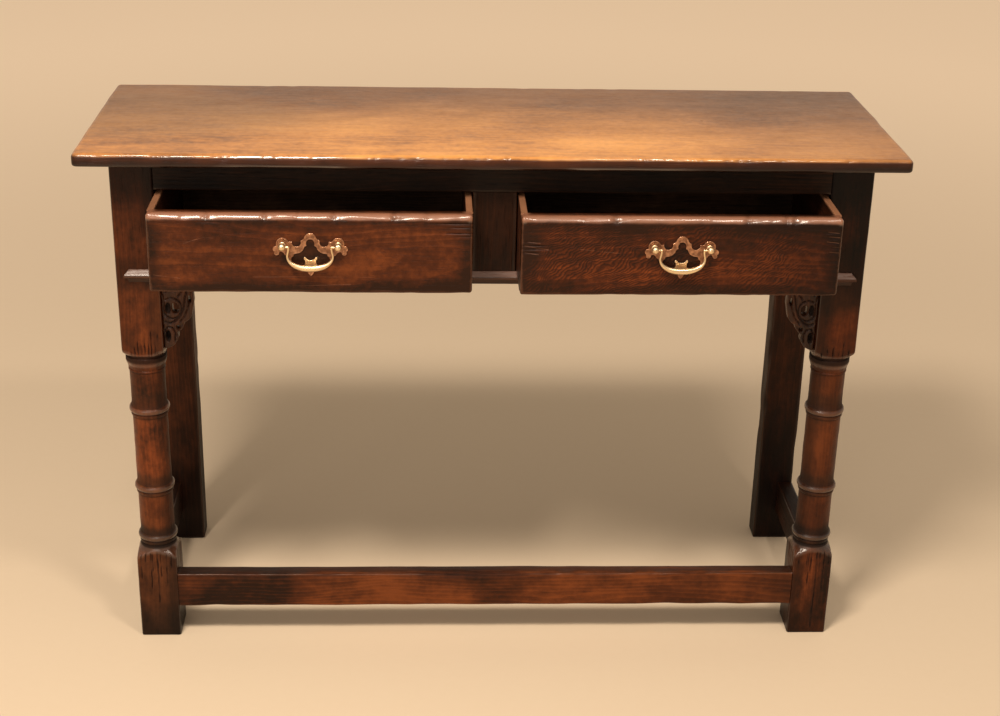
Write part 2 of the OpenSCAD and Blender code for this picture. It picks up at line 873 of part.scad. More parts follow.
module handle_nuts(side) {
    color(brass)
    at_handle(side)
    for (end = [-1, 1])
        translate([end * post_x, front_t, 0])
            rotate([-90, 0, 0])
                difference() {
                    cylinder(r = 2.1 * shank_r, h = nut_t, $fn = 6);
                    translate([0, 0, -over])
                        cylinder(r = shank_r + joint_gap / 2, h = nut_t + 2 * over);
                }
}

// The bail's centre line: straight arms, then a squarish bow; angle runs 0 to 180 along the bow
arm_x = post_x - ball_r - 3.8;
arm_l = 13;
function bow_point(a) =
    [
        arm_x * sign(cos(a)) * pow(abs(cos(a)), 0.85),
        -arm_l - (bail_drop - arm_l) * pow(abs(sin(a)), 0.85)
    ];
bow_angles = concat([1], [for (a = [8 : 8 : 172]) a], [179]);
bail_line = concat([[arm_x, 0]], [for (a = bow_angles) bow_point(a)], [[-arm_x, 0]]);
bail_radii = concat(
    [arm_r],
    [for (a = bow_angles) arm_r + (grip_r - arm_r) * pow(sin(a), 1.5)],
    [arm_r]
);
bail_sides = 14;

// Points of the ring round one point of the centre line, square to the line
function bail_ring(i) =
    let (
        last = len(bail_line) - 1,
        ahead = bail_line[min(i + 1, last)] - bail_line[max(i - 1, 0)],
        along = ahead / norm(ahead),
        across = [-along[1], along[0]],
        p = bail_line[i]
    )
    [for (k = [0 : bail_sides - 1])
        let (a = 360 * k / bail_sides, out = bail_radii[i] * cos(a))
        [p[0] + across[0] * out, bail_radii[i] * sin(a), p[1] + across[1] * out]];

module bail(side) {
    rings = len(bail_line);
    n = bail_sides;
    color(brass)
    at_handle(side)
    translate([0, -axis_out, 0]) {
        polyhedron(
            points = [for (i = [0 : rings - 1]) each bail_ring(i)],
            faces = concat(
                [[for (k = [n - 1 : -1 : 0]) k]],
                [for (i = [0 : rings - 2], k = [0 : n - 1])
                    let (a = i * n + k, b = i * n + (k + 1) % n)
                    each [[a, b, b + n], [a, b + n, a + n]]],
                [[for (k = [0 : n - 1]) (rings - 1) * n + k]]
            ));
        for (end = [-1, 1])
            translate([end * arm_x, 0, 0]) {
                sphere(1.15 * arm_r);
                rotate([0, end * 90, 0])
                    cylinder(r = pin_r, h = post_x - arm_x + pin_in);
            }
    }
}

table_top();
front_leg(-1);  // front_leg_left
front_leg(1);  // front_leg_right
rear_leg(-1);  // rear_leg_left
rear_leg(1);  // rear_leg_right
upper_front_rail();
lower_front_rail();
rail_moulding();
centre_muntin();
side_apron(-1);  // side_apron_left
side_apron(1);  // side_apron_right
back_apron();
front_stretcher();
side_stretcher(-1);  // side_stretcher_left
side_stretcher(1);  // side_stretcher_right
bracket(-1);  // bracket_left
bracket(1);  // bracket_right
outer_runner(-1);  // runner_left
runner_centre();
outer_runner(1);  // runner_right
centre_guide();
outer_kicker(-1);  // kicker_left
kicker_centre();
outer_kicker(1);  // kicker_right
drawer_stops();
top_buttons();
button_screws();
drawer_front(-1);  // left_drawer_front
drawer_side(-1, -1);  // left_drawer_side_outer
drawer_side(-1, 1);  // left_drawer_side_inner
drawer_back(-1);  // left_drawer_back
drawer_bottom(-1);  // left_drawer_bottom
drawer_front(1);  // right_drawer_front
drawer_side(1, 1);  // right_drawer_side_outer
drawer_side(1, -1);  // right_drawer_side_inner
drawer_back(1);  // right_drawer_back
drawer_bottom(1);  // right_drawer_bottom
handle_plate(-1);  // left_handle_plate
handle_posts(-1);  // left_handle_posts
handle_nuts(-1);  // left_handle_nuts
bail(-1);  // left_bail
handle_plate(1);  // right_handle_plate
handle_posts(1);  // right_handle_posts
handle_nuts(1);  // right_handle_nuts
bail(1);  // right_bail
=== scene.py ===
"""Looks of the serving table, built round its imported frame.

Lengths are in metres unless a comment says mm. X runs left to right, y from the front to the back, z up from the floor.
"""
import math

import bpy
import numpy as np
from mathutils import Matrix, Vector
from mathutils.geometry import delaunay_2d_cdt


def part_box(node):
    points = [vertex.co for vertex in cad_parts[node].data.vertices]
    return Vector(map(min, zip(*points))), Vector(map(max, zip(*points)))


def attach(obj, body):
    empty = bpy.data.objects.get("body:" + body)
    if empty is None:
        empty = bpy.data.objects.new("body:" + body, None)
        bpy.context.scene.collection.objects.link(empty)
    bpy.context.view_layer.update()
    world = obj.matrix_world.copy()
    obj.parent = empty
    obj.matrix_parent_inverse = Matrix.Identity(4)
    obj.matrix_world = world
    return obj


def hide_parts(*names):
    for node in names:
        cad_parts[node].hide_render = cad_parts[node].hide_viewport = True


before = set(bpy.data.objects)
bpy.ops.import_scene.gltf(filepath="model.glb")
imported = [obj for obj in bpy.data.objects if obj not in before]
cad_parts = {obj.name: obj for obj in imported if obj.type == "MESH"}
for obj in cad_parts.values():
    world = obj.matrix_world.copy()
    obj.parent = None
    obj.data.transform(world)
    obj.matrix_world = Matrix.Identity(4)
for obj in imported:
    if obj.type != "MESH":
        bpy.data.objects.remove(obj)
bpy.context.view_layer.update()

MM = 0.001
FAR = 0.2  # the edge distance of points that are away from every arris


# Node tools

class Value:
    """One output of a node. Arithmetic on it adds Math nodes."""

    def __init__(self, nodes, socket):
        self.nodes = nodes
        self.socket = socket

    def math(self, operation, *others):
        return self.nodes.add("ShaderNodeMath", {"operation": operation}, [self, *others])

    def after(self, operation, number):
        """The operation with this value as its second number."""
        return self.nodes.add("ShaderNodeMath", {"operation": operation}, [number, self])

    def __add__(self, other):
        return self.math("ADD", other)

    __radd__ = __add__

    def __mul__(self, other):
        return self.math("MULTIPLY", other)

    __rmul__ = __mul__

    def __sub__(self, other):
        return self.math("SUBTRACT", other)

    def __rsub__(self, other):
        return self.after("SUBTRACT", other)

    def __truediv__(self, other):
        return self.math("DIVIDE", other)

    def __rtruediv__(self, other):
        return self.after("DIVIDE", other)

    def __pow__(self, other):
        return self.math("POWER", other)

    def __rpow__(self, other):
        return self.after("POWER", other)


class Nodes:
    """A node tree, with what materials and Geometry Nodes have in common."""

    def __init__(self, tree):
        self.tree = tree

    def add(self, kind, settings, values, out=0):
        """A node of that kind: its settings first, then the values or links of its sockets."""
        node = self.tree.nodes.new(kind)
        for key, setting in settings.items():
            if key == "stops":
                ramp = node.color_ramp.elements
                while len(ramp) < len(setting):
                    ramp.new(0.5)
                for stop, (position, colour) in zip(ramp, setting):
                    stop.position = position
                    stop.color = (*colour, 1)
            else:
                setattr(node, key, setting)
        pairs = values.items() if isinstance(values, dict) else enumerate(values)
        for key, value in pairs:
            socket = self.find(node.inputs, key)
            if isinstance(value, Value):
                self.tree.links.new(value.socket, socket)
            elif isinstance(value, list) and isinstance(value[0], Value):
                for one in value:
                    self.tree.links.new(one.socket, socket)
            elif value is not None:
                if socket.type == "RGBA" and len(value) == 3:
                    value = (*value, 1)
                socket.default_value = value
        return Value(self, self.find(node.outputs, out)) if node.outputs else node

    @staticmethod
    def find(sockets, key):
        if isinstance(key, int):
            return sockets[key]
        named = [s for s in sockets if s.identifier == key] or [s for s in sockets if s.name == key]
        return named[0]

    def split(self, vector):
        parts = self.add("ShaderNodeSeparateXYZ", {}, {"Vector": vector}, "X")
        return [Value(self, parts.socket.node.outputs[axis]) for axis in "XYZ"]


class Shader(Nodes):
    """A material and its node tree."""

    def __init__(self, name):
        self.material = bpy.data.materials.new(name)
        self.material.use_nodes = True
        super().__init__(self.material.node_tree)
        self.tree.nodes.clear()

    def smooth(self, value, low, high):
        """0 below low, 1 above high and smooth between; low may be the greater one."""
        return self.add("ShaderNodeMapRange", {"interpolation_type": "SMOOTHSTEP"},
                        {"Value": value, "From Min": low, "From Max": high}, "Result")

    def mix(self, factor, a, b, blend="MIX"):
        return self.add("ShaderNodeMix", {"data_type": "RGBA", "blend_type": blend},
                        {"Factor_Float": factor, "A_Color": a, "B_Color": b}, "Result_Color")

    def noise(self, vector, stretch, detail=3, roughness=0.55):
        """Noise from 0 to 1 with that many features a metre along each axis."""
        scaled = self.add("ShaderNodeVectorMath", {"operation": "MULTIPLY"}, [vector, stretch])
        return self.add("ShaderNodeTexNoise", {},
                        {"Vector": scaled, "Scale": 1, "Detail": detail, "Roughness": roughness}, "Fac")

    def away(self, vector, centre, half):
        """Distance from a centre, counted in half sizes."""
        off = self.add("ShaderNodeVectorMath", {"operation": "SUBTRACT"}, [vector, centre])
        off = self.add("ShaderNodeVectorMath", {"operation": "DIVIDE"}, [off, half])
        return self.add("ShaderNodeVectorMath", {"operation": "LENGTH"}, [off], "Value")

    def object_place(self):
        return self.add("ShaderNodeTexCoord", {}, {}, "Object")

    def attribute(self, name):
        return self.add("ShaderNodeAttribute", {"attribute_name": name}, {}, "Fac")

    def finish(self, surface):
        self.add("ShaderNodeOutputMaterial", {}, {"Surface": surface})
        return self.material


class Growth(Nodes):
    """A Geometry Nodes tree with named inputs, given as name: (socket type, value)."""

    def __init__(self, name, inputs):
        super().__init__(bpy.data.node_groups.new(name, "GeometryNodeTree"))
        panel = self.tree.interface
        panel.new_socket("Geometry", in_out="INPUT", socket_type="NodeSocketGeometry")
        self.identifiers = {}
        for label, (kind, value) in inputs.items():
            socket = panel.new_socket(label, in_out="INPUT", socket_type="NodeSocket" + kind)
            if value is not None:
                socket.default_value = value
            self.identifiers[label] = socket.identifier
        panel.new_socket("Geometry", in_out="OUTPUT", socket_type="NodeSocketGeometry")
        self.entry = self.tree.nodes.new("NodeGroupInput")

    def given(self, label):
        return Value(self, self.find(self.entry.outputs, label))

    def vector(self, x=0.0, y=0.0, z=0.0):
        return self.add("ShaderNodeCombineXYZ", {}, {"X": x, "Y": y, "Z": z})

    def end(self, geometry, material):
        real = self.add("GeometryNodeRealizeInstances", {}, {"Geometry": geometry})
        dressed = self.add("GeometryNodeSetMaterial", {}, {"Geometry": real, "Material": material})
        self.add("NodeGroupOutput", {}, {"Geometry": dressed})

    def grow(self, mesh, place=(0, 0, 0), **values):
        """A plain mesh of what the tree makes from this one, moved to its place."""
        holder = bpy.data.objects.new(mesh.name, mesh)
        bpy.context.collection.objects.link(holder)
        modifier = holder.modifiers.new("growth", "NODES")
        modifier.node_group = self.tree
        for label, value in values.items():
            modifier[self.identifiers[label.replace("_", " ")]] = value
        graph = bpy.context.evaluated_depsgraph_get()
        result = bpy.data.meshes.new_from_object(holder.evaluated_get(graph), depsgraph=graph)
        holder.modifiers.remove(modifier)
        bpy.data.objects.remove(holder)
        result.transform(Matrix.Translation(place))
        return result


def stroke(s, across, up, start, end, width):
    """Mask of a straight scratch between two points of the (across, up) plane."""
    dx, dz = end[0] - start[0], end[1] - start[1]
    squared = dx * dx + dz * dz
    share = ((across - start[0]) * dx + (up - start[1]) * dz) / squared
    share = s.add("ShaderNodeClamp", {}, {"Value": share})
    off_x = across - start[0] - share * dx
    off_z = up - start[1] - share * dz
    distance = (off_x * off_x + off_z * off_z) ** 0.5
    return s.smooth(distance, width, width * 0.25)


def oak(name, grain, deep, mid, light, worn, wear=4.0, rub=0.3, gloss=0.42, shine=0.3, coat=0.06, polish=0.5,
        glaze=0.17, coat_ior=1.5, figure=0.4, streaks=1.0, clouds=1.0, spots=0.6, rim=0.0, rim_width=40,
        cut=(0, 0, 0), curl=0.0, grime_and_painted_light=(), face=None, face_reach=0, scratches=(), lit=(), bump=1.0, arris=True):
    """Waxed oak between the colours deep, mid and light.

    grain is the axis that it runs along, and cut moves the board within the tree. figure, streaks, clouds and spots
    are strengths of the pattern, curl that of the waves across the grain. wear is the width in mm of the rubbed
    arrises, rub their strength, polish that of their wax; rim darkens what lies next to them.
    The shading entries are (colour, axis, from, to), where the wood is multiplied by the colour more and more towards
    "to", or (colour, centre, half sizes), where it is so within a soft patch; most of them paint shade and light into
    the colour, and a few are dirt.
    face = (colour, z low, z high) covers what lies above, and fades away from the arris over face_reach mm if that
    is given: painted light on the lit bevel of the moulding, painted shade on the top of the stretcher, and on the
    drawers a lighter rubbed top that is partly painted light; scratches are strokes in the plane of a drawer front;
    lit are the (centre, half sizes) of the only places where the arris is polished. Pieces that carry no edge and
    dent attributes have arris off.
    """
    s = Shader(name)
    place = s.object_place()
    turn = {"x": (0, 0, 0), "y": (0, 0, -math.pi / 2), "z": (0, math.pi / 2, 0)}[grain]
    wood = s.add("ShaderNodeMapping", {}, {"Vector": place, "Location": cut, "Rotation": turn})
    drift = s.noise(wood, (1.3, 8, 8), 2)
    wander = s.noise(wood, (2.6, 13, 13), 2)
    streak = s.noise(wood, (3.5, 120, 120), 5, 0.6)
    fine = s.noise(wood, (14, 380, 380), 3, 0.6)
    blotch = s.noise(wood, (4, 9, 9), 3, 0.5)
    cloud = s.noise(wood, (17, 32, 32), 3, 0.6)
    mottle = s.noise(place, (95, 95, 95), 3, 0.6)
    pore = s.smooth(s.noise(wood, (34, 620, 620), 2), 0.57, 0.70)

    # Rings round a centre line that drifts, and what lies over them
    x, y, z = s.split(wood)
    yy = y + (drift - 0.5) * 0.09
    zz = z + (wander - 0.5) * 0.05
    rings = ((yy * yy + zz * zz) ** 0.5 * 150 + (fine - 0.5) * 0.35).math("FRACT")
    early = s.smooth(rings, 0.62, 0.0)
    tone = 0.5 + (blotch - 0.5) * (1.25 * clouds) + (cloud - 0.5) * (0.65 * clouds) + (early - 0.4) * (0.3 * figure)
    tone = tone + (mottle - 0.5) * (0.5 * spots) + (streak - 0.5) * (0.62 * streaks)
    tone = tone + (fine - 0.5) * (0.5 * streaks) - pore * (0.2 * streaks)
    x0, y0, z0 = s.split(place)
    if curl:
        swirl = s.noise(place, (11, 9, 15), 3, 0.55)
        waves = ((z0 - x0 * 0.7) * 190 + swirl * 15 + (mottle - 0.5) * 1.6).math("FRACT")
        waves = s.smooth((waves - 0.5).math("ABSOLUTE"), 0.5, 0.1)
        patchy = s.smooth(s.noise(place, (18, 20, 26), 2, 0.5), 0.30, 0.52)
        tone = tone + (waves - 0.5) * patchy * s.smooth(x0, *CURL_END) * curl
    edge = s.attribute("edge") * 1000 if arris else None  # in mm
    if rim:
        tone = tone - s.smooth(edge + (blotch - 0.5) * rim_width, rim_width, 2.0) * rim
    colour = s.add("ShaderNodeValToRGB", {"stops": [(0.18, deep), (0.5, mid), (0.82, light)]},
                   {"Fac": tone}, "Color")

    # Painted shade and painted light, with some dirt, then the face
    for tint, *reach in grime_and_painted_light:
        if len(reach) == 3:
            axis, start, full = reach
            along = {"x": x0, "y": y0, "z": z0}[axis]
            mask = s.smooth(along + (cloud - 0.5) * (0.7 * abs(full - start)), start, full)
            if axis == "z":
                coat = (1 - mask) * coat
        else:
            mask = s.smooth(s.away(place, *reach) + (cloud - 0.5) * 0.6, 1.0, 0.5)
        colour = s.mix(mask, colour, tint, "MULTIPLY")
    # The face: painted light or painted shade on upward faces, and a lighter rubbed top on the drawers
    if face:
        tint, low, high = face
        above = s.smooth(z0 + (streak - 0.5) * 0.004 + (cloud - 0.5) * (1.2 * (high - low)), low, high)
        if face_reach:
            above = above * s.smooth(edge + (streak - 0.5) * 3, face_reach, face_reach * 0.35)
        colour = s.mix(above * (0.25 + 0.6 * cloud + 0.3 * streak), colour, tint)

    # Rubbed and polished arrises, scratches and dents
    rough = gloss + (cloud - 0.5) * 0.25 + pore * 0.12
    if arris:
        rubbed = s.smooth(edge + (streak - 0.5) * (wear * 1.2) + (cloud - 0.5) * (wear * 2), wear, wear * 0.1)
        colour = s.mix(rubbed * rub * (0.4 + 1.2 * cloud), colour, worn)
        rough = rough - rubbed * 0.12
        sheen = s.smooth(edge, wear * 2, wear) * (0.6 * polish)
        if lit:
            left, right = [s.smooth(s.away(place, *where) + (cloud - 0.5) * 0.8, 1.0, 0.6) for where in lit]
            sheen = sheen * (left.math("MAXIMUM", right) * 0.85 + 0.15)
        coat = coat + (sheen * s.smooth(z0, face[1] - 0.002, face[1] + 0.002) if face else sheen)
    height = streak * 0.5 + fine * 0.35 + early * 0.15 - pore * 0.7 + cloud * 1.6
    if scratches:
        marks = stroke(s, x0, z0, *scratches[0])
        for scratch in scratches[1:]:
            marks = marks.math("MAXIMUM", stroke(s, x0, z0, *scratch))
        marks = marks * s.smooth(fine, 0.35, 0.6)
        colour = s.mix(marks * 0.28, colour, worn)
        height = height - marks * 1.2
    # Dents, cracks and hollows are darkened: dirt, and on the legs and the brackets also painted shade
    if arris:
        dent = s.smooth(s.attribute("dent"), 0.0, 1.0)
        colour = s.mix(dent * 0.85, colour, DIRT_AND_SHADE)
        rough = rough + dent * 0.4
        coat = coat * (1 - dent)
    normal = s.add("ShaderNodeBump", {}, {"Strength": 0.5, "Distance": 0.0006 * bump, "Height": height})
    surface = s.add("ShaderNodeBsdfPrincipled", {}, {
        "Base Color": colour, "Roughness": rough, "Normal": normal, "Coat Weight": coat,
        "Coat Roughness": glaze, "Coat IOR": coat_ior, "Specular IOR Level": shine})
    return s.finish(surface)


def metal(name, bright, dull, rough, amount=0.5, size=1.0, bump=1.0, crown=None):
    """Brass or steel with tarnish in patches and in what lies low (the dent attribute).

    crown = (colour, distance from the middle of the table, half width, z low, z high) is the part of both
    backplates that the bail has rubbed bright.
    """
    s = Shader(name)
    place = s.object_place()
    patch = s.noise(place, (160 * size, 160 * size, 160 * size), 4, 0.6)
    brushed = s.noise(place, (700, 700, 200), 2, 0.5)
    tarnish = s.smooth(patch + (brushed - 0.5) * 0.3, 0.68, 0.36)
    colour = s.mix(tarnish * amount, bright, dull)
    low = s.smooth(s.attribute("dent"), 0.0, 1.0)
    if crown:
        rubbed, middle, half, bottom, top = crown
        x, y, z = s.split(place)
        beside = s.smooth((x.math("ABSOLUTE") - middle).math("ABSOLUTE"), half + MM, half - MM)
        band = s.smooth(z, bottom - 3 * MM, bottom) * s.smooth(z, top + MM, top)
        colour = s.mix(beside * band * 0.85, colour, rubbed)
    colour = s.mix(low * 0.8, colour, [0.35 * c for c in dull])
    roughness = rough + tarnish * 0.12 + low * 0.2
    normal = s.add("ShaderNodeBump", {}, {"Strength": 0.25, "Distance": 0.00012 * bump, "Height": patch})
    surface = s.add("ShaderNodeBsdfPrincipled", {}, {
        "Base Color": colour, "Roughness": roughness, "Metallic": 1.0, "Normal": normal})
    return s.finish(surface)


# Mesh tools

def scatter(cells, seed):
    """A fixed value between -1 and 1 for each row of three whole numbers."""
    c = cells.astype(np.int64)
    n = (c[:, 0] * 73856093) ^ (c[:, 1] * 19349663) ^ (c[:, 2] * 83492791) ^ (seed * 40503)
    n = ((n ^ (n >> 13)) * 1274126177) & 0x7FFFFFFF
    n = ((n ^ (n >> 15)) * 668265263) & 0x7FFFFFFF
    return ((n >> 7) & 0xFFFF) / 32767.5 - 1


def ripple(points, size, seed=0):
    """Smooth noise between about -1 and 1; size is that of its features in metres, one or three numbers."""
    total = np.zeros(len(points))
    for octave in range(2):
        q = points / np.asarray(size) * 2 ** octave + 31.7
        cell = np.floor(q)
        f = q - cell
        f = f * f * (3 - 2 * f)
        for corner in np.ndindex(2, 2, 2):
            w = np.prod(np.where(corner, f, 1 - f), axis=1)
            total += w * scatter(cell + corner, seed + octave) / 2 ** octave
    return total


def box_shell(xs, ys, zs):
    """Points and outward quads of a box's surface, divided at the given positions."""
    shape = (len(xs), len(ys), len(zs))
    on = np.zeros(shape, bool)
    on[[0, -1]] = True
    on[:, [0, -1]] = True
    on[:, :, [0, -1]] = True
    index = np.full(shape, -1)
    index[on] = np.arange(on.sum())
    i, j, k = np.nonzero(on)
    points = np.column_stack([np.asarray(xs)[i], np.asarray(ys)[j], np.asarray(zs)[k]])
    faces = []
    for axis in range(3):
        for end in (0, -1):
            sheet = np.take(index, end, axis=axis)
            quads = np.stack([sheet[:-1, :-1], sheet[1:, :-1], sheet[1:, 1:], sheet[:-1, 1:]], -1).reshape(-1, 4)
            faces.append(quads[:, ::-1] if (end == 0) != (axis == 1) else quads)
    return points, np.vstack(faces).tolist()


def spaced(low, high, radius, step):
    """Positions from low to high, close together within the edge radius of both ends."""
    turn = radius * np.array([0, 0.1, 0.26, 0.46, 0.7, 1.0])
    inner = np.linspace(low + radius, high - radius, max(2, int(round((high - low - 2 * radius) / step)) + 1))
    return np.concatenate([low + turn[:-1], inner, high - turn[-2::-1]])


def finer(positions, low, high, step):
    """The same positions with more of them between low and high."""
    extra = np.arange(low, high, step)
    kept = [p for p in positions if not (low - step / 2 < p < high + step / 2)]
    return np.sort(np.concatenate([kept, extra]))


def softened(points, low, high, radius, soft):
    """Box points with their edges rounded; radius is one number a point, soft the sides as 'x-x+y-...'.

    Gives the points, the outward directions and each point's distance to the nearest arris.
    """
    low, high = np.array(low), np.array(high)
    r = np.broadcast_to(radius, len(points))
    moved = points.copy()
    flat = np.zeros_like(points)
    gaps = []
    for axis, letter in enumerate("xyz"):
        near_low, near_high = points[:, axis] - low[axis], high[axis] - points[:, axis]
        flat[near_low < 1e-7, axis] = -1
        flat[near_high < 1e-7, axis] = 1
        lo = low[axis] + r * (letter + "-" in soft)
        hi = high[axis] - r * (letter + "+" in soft)
        moved[:, axis] = np.clip(points[:, axis], lo, hi)
        gaps.append(near_low if letter + "-" in soft else np.full(len(points), FAR))
        gaps.append(near_high if letter + "+" in soft else np.full(len(points), FAR))
    off = points - moved
    length = np.linalg.norm(off, axis=1)
    reach = np.abs(off).max(axis=1)
    flat /= np.linalg.norm(flat, axis=1)[:, None]
    safe = np.where(length > 1e-9, length, 1)[:, None]
    outward = np.where(length[:, None] > 1e-9, off / safe, flat)
    gaps = np.sort(np.array(gaps), axis=0)
    edge = np.where(gaps[0] < 1e-6, gaps[1], FAR)
    return moved + off / safe * reach[:, None], outward, np.minimum(edge, FAR)


def dented(points, outward, dents):
    """Points pressed inwards by soft dents (centre, half sizes, depth), and how deep each one went, in metres."""
    depth = np.zeros(len(points))
    for centre, half, deep in dents:
        away = (((points - np.array(centre)) / np.array(half)) ** 2).sum(axis=1)
        depth += deep * np.exp(-away)
    return points - outward * depth[:, None], depth


def piece(name, points, faces, material, body, replaces=(), edge=None, dent=None, sharp=50):
    """A mesh object that rides on a body; edge and dent are one number a point."""
    mesh = bpy.data.meshes.new(name)
    mesh.from_pydata(np.asarray(points).tolist(), [], [list(f) for f in faces])
    for label, values in (("edge", edge), ("dent", dent)):
        data = np.zeros(len(points)) + (FAR if label == "edge" else 0.0)
        if values is not None:
            data[:len(values)] = values
        mesh.attributes.new(label, "FLOAT", "POINT").data.foreach_set("value", data.astype(np.float32))
    return placed(name, mesh, material, body, replaces, sharp)


def placed(name, mesh, material, body, replaces=(), sharp=50):
    """The mesh as an object that rides on a body."""
    mesh.name = name
    mesh.polygons.foreach_set("use_smooth", [True] * len(mesh.polygons))
    mesh.set_sharp_from_angle(angle=math.radians(sharp))
    mesh.materials.clear()
    mesh.materials.append(material)
    mesh.validate()
    shape = bpy.data.objects.new(name, mesh)
    bpy.context.collection.objects.link(shape)
    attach(shape, body)
    if replaces:
        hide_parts(*replaces)
    return shape


def joined(parts):
    """One list of points and faces from several."""
    points, faces, count = [], [], 0
    for part_points, part_faces in parts:
        points.append(np.asarray(part_points))
        faces += [[count + i for i in face] for face in part_faces]
        count += len(part_points)
    return np.vstack(points), faces


def plain_box(low, high):
    """Points and faces of a box with sharp edges."""
    return box_shell(*[[low[a], high[a]] for a in range(3)])


def loft(rings):
    """Faces between rings of points that all have the same count; the rings turn anticlockwise as they rise."""
    count, n = len(rings), len(rings[0])
    faces = []
    for i in range(count - 1):
        for k in range(n):
            a, b = i * n + k, i * n + (k + 1) % n
            faces.append([a, b, b + n, a + n])
    faces.append([k for k in range(n - 1, -1, -1)])
    faces.append([(count - 1) * n + k for k in range(n)])
    return np.vstack(rings), faces


def board(name, low, high, material, body="frame", tenons=(), soft="x-x+y-y+z-z+", radius=2.5, wobble=0.4, step=9,
          dents=(), grids=None, extra=None, slot="dark_oak", seed=1, replaces=(), darkest=1.6):
    """A plank with rubbed, slightly uneven arrises, and its tenons as plain blocks.

    Radius, wobble, step and darkest, the depth at which a dent is quite dark, are in mm; extra gives what each
    point's radius gets on top, and grids changes the positions along an axis.
    """
    low, high = np.array(low), np.array(high)
    r = radius * MM
    grid = [spaced(low[a], high[a], r * (1.35 if extra is None or a == 0 else 2.4), step * MM) for a in range(3)]
    for axis, change in (grids or {}).items():
        grid[axis] = change(grid[axis])
    points, faces = box_shell(*grid)
    if extra is not None:
        r = r + extra(points) * MM
    uneven = r * (1 + 0.3 * np.clip(ripple(points, 0.045, seed), -1, 1))
    points, outward, edge = softened(points, low, high, uneven, soft)
    shy = (0.5 + 0.5 * np.clip(ripple(points, (0.09, 0.09, 0.09), seed + 5), -1, 1)) * wobble * MM
    keep = np.ones(len(points))
    for axis, letter in enumerate("xyz"):
        if letter + "-" not in soft:
            keep *= np.clip((points[:, axis] - low[axis]) / 0.004, 0, 1)
        if letter + "+" not in soft:
            keep *= np.clip((high[axis] - points[:, axis]) / 0.004, 0, 1)
    points = points - outward * (shy * keep)[:, None]
    points, depth = dented(points, outward, dents)
    count = len(points)
    points, faces = joined([(points, faces)] + [plain_box(*t) for t in tenons])
    return piece(name, points, faces, material, body, replaces, edge[:count],
                 np.clip(depth / (darkest * MM), 0, 1))


def bow(centre, rx, ry, start, end, n):
    """Points on an ellipse, from one angle to another in degrees."""
    angles = np.radians(start + (end - start) * np.arange(n + 1) / n)
    return [(centre[0] + rx * math.cos(a), centre[1] + ry * math.sin(a)) for a in angles]


def arch(p, q, rise):
    """Points on a circular arc from p to q, without q; rise is its height, positive to the left of p-q."""
    p, q = np.array(p, float), np.array(q, float)
    d = np.linalg.norm(q - p) / 2
    along = (q - p) / (2 * d)
    left = np.array([-along[1], along[0]])
    half = 2 * math.atan(abs(rise) / d)
    r = d / math.sin(half)
    n = max(2, math.ceil(math.degrees(2 * half) / 16))  # steps of 16 degrees at most
    out = []
    for i in range(n):
        a = -half + 2 * half * i / n
        above = math.cos(a) - math.cos(half)
        out.append((p + q) / 2 + along * r * math.sin(a) + left * math.copysign(1, rise) * r * above)
    return out


def outline(corners, closed=True):
    """Points through corners (x, y, rise of the arc to the next corner)."""
    points = []
    for i in range(len(corners) - (0 if closed else 1)):
        p, q = corners[i], corners[(i + 1) % len(corners)]
        points += [np.array(p[:2], float)] if p[2] == 0 else arch(p[:2], q[:2], p[2])
    if not closed:
        points.append(np.array(corners[-1][:2], float))
    return np.array(points)


def both_halves(right):
    """A closed loop from its right half, whose ends lie on the middle line."""
    return np.vstack([right, (right * (-1, 1))[-2:0:-1]])


def even(loop, step):
    """A closed loop with more points where its sides are long."""
    out = []
    for p, q in zip(loop, np.roll(loop, -1, axis=0)):
        n = max(1, int(round(np.linalg.norm(q - p) / step)))
        out += [p + (q - p) * i / n for i in range(n)]
    return np.array(out)


def distance_to(points, loop, closed=True):
    """Each point's distance to a line of points."""
    a = loop if closed else loop[:-1]
    b = np.roll(loop, -1, axis=0) if closed else loop[1:]
    ab = b - a
    t = ((points[:, None] - a) * ab).sum(-1) / np.maximum((ab ** 2).sum(-1), 1e-12)
    near = a + np.clip(t, 0, 1)[..., None] * ab
    return np.linalg.norm(points[:, None] - near, axis=-1).min(axis=1)


def inside(points, loop):
    """Which of the points lie inside a closed loop."""
    a, b = loop, np.roll(loop, -1, axis=0)
    px, py = points[:, 0, None], points[:, 1, None]
    crosses = (a[:, 1] > py) != (b[:, 1] > py)
    slope = (b[:, 0] - a[:, 0]) / np.where(b[:, 1] == a[:, 1], 1e-12, b[:, 1] - a[:, 1])
    return ((px < a[:, 0] + (py - a[:, 1]) * slope) & crosses).sum(axis=1) % 2 == 1


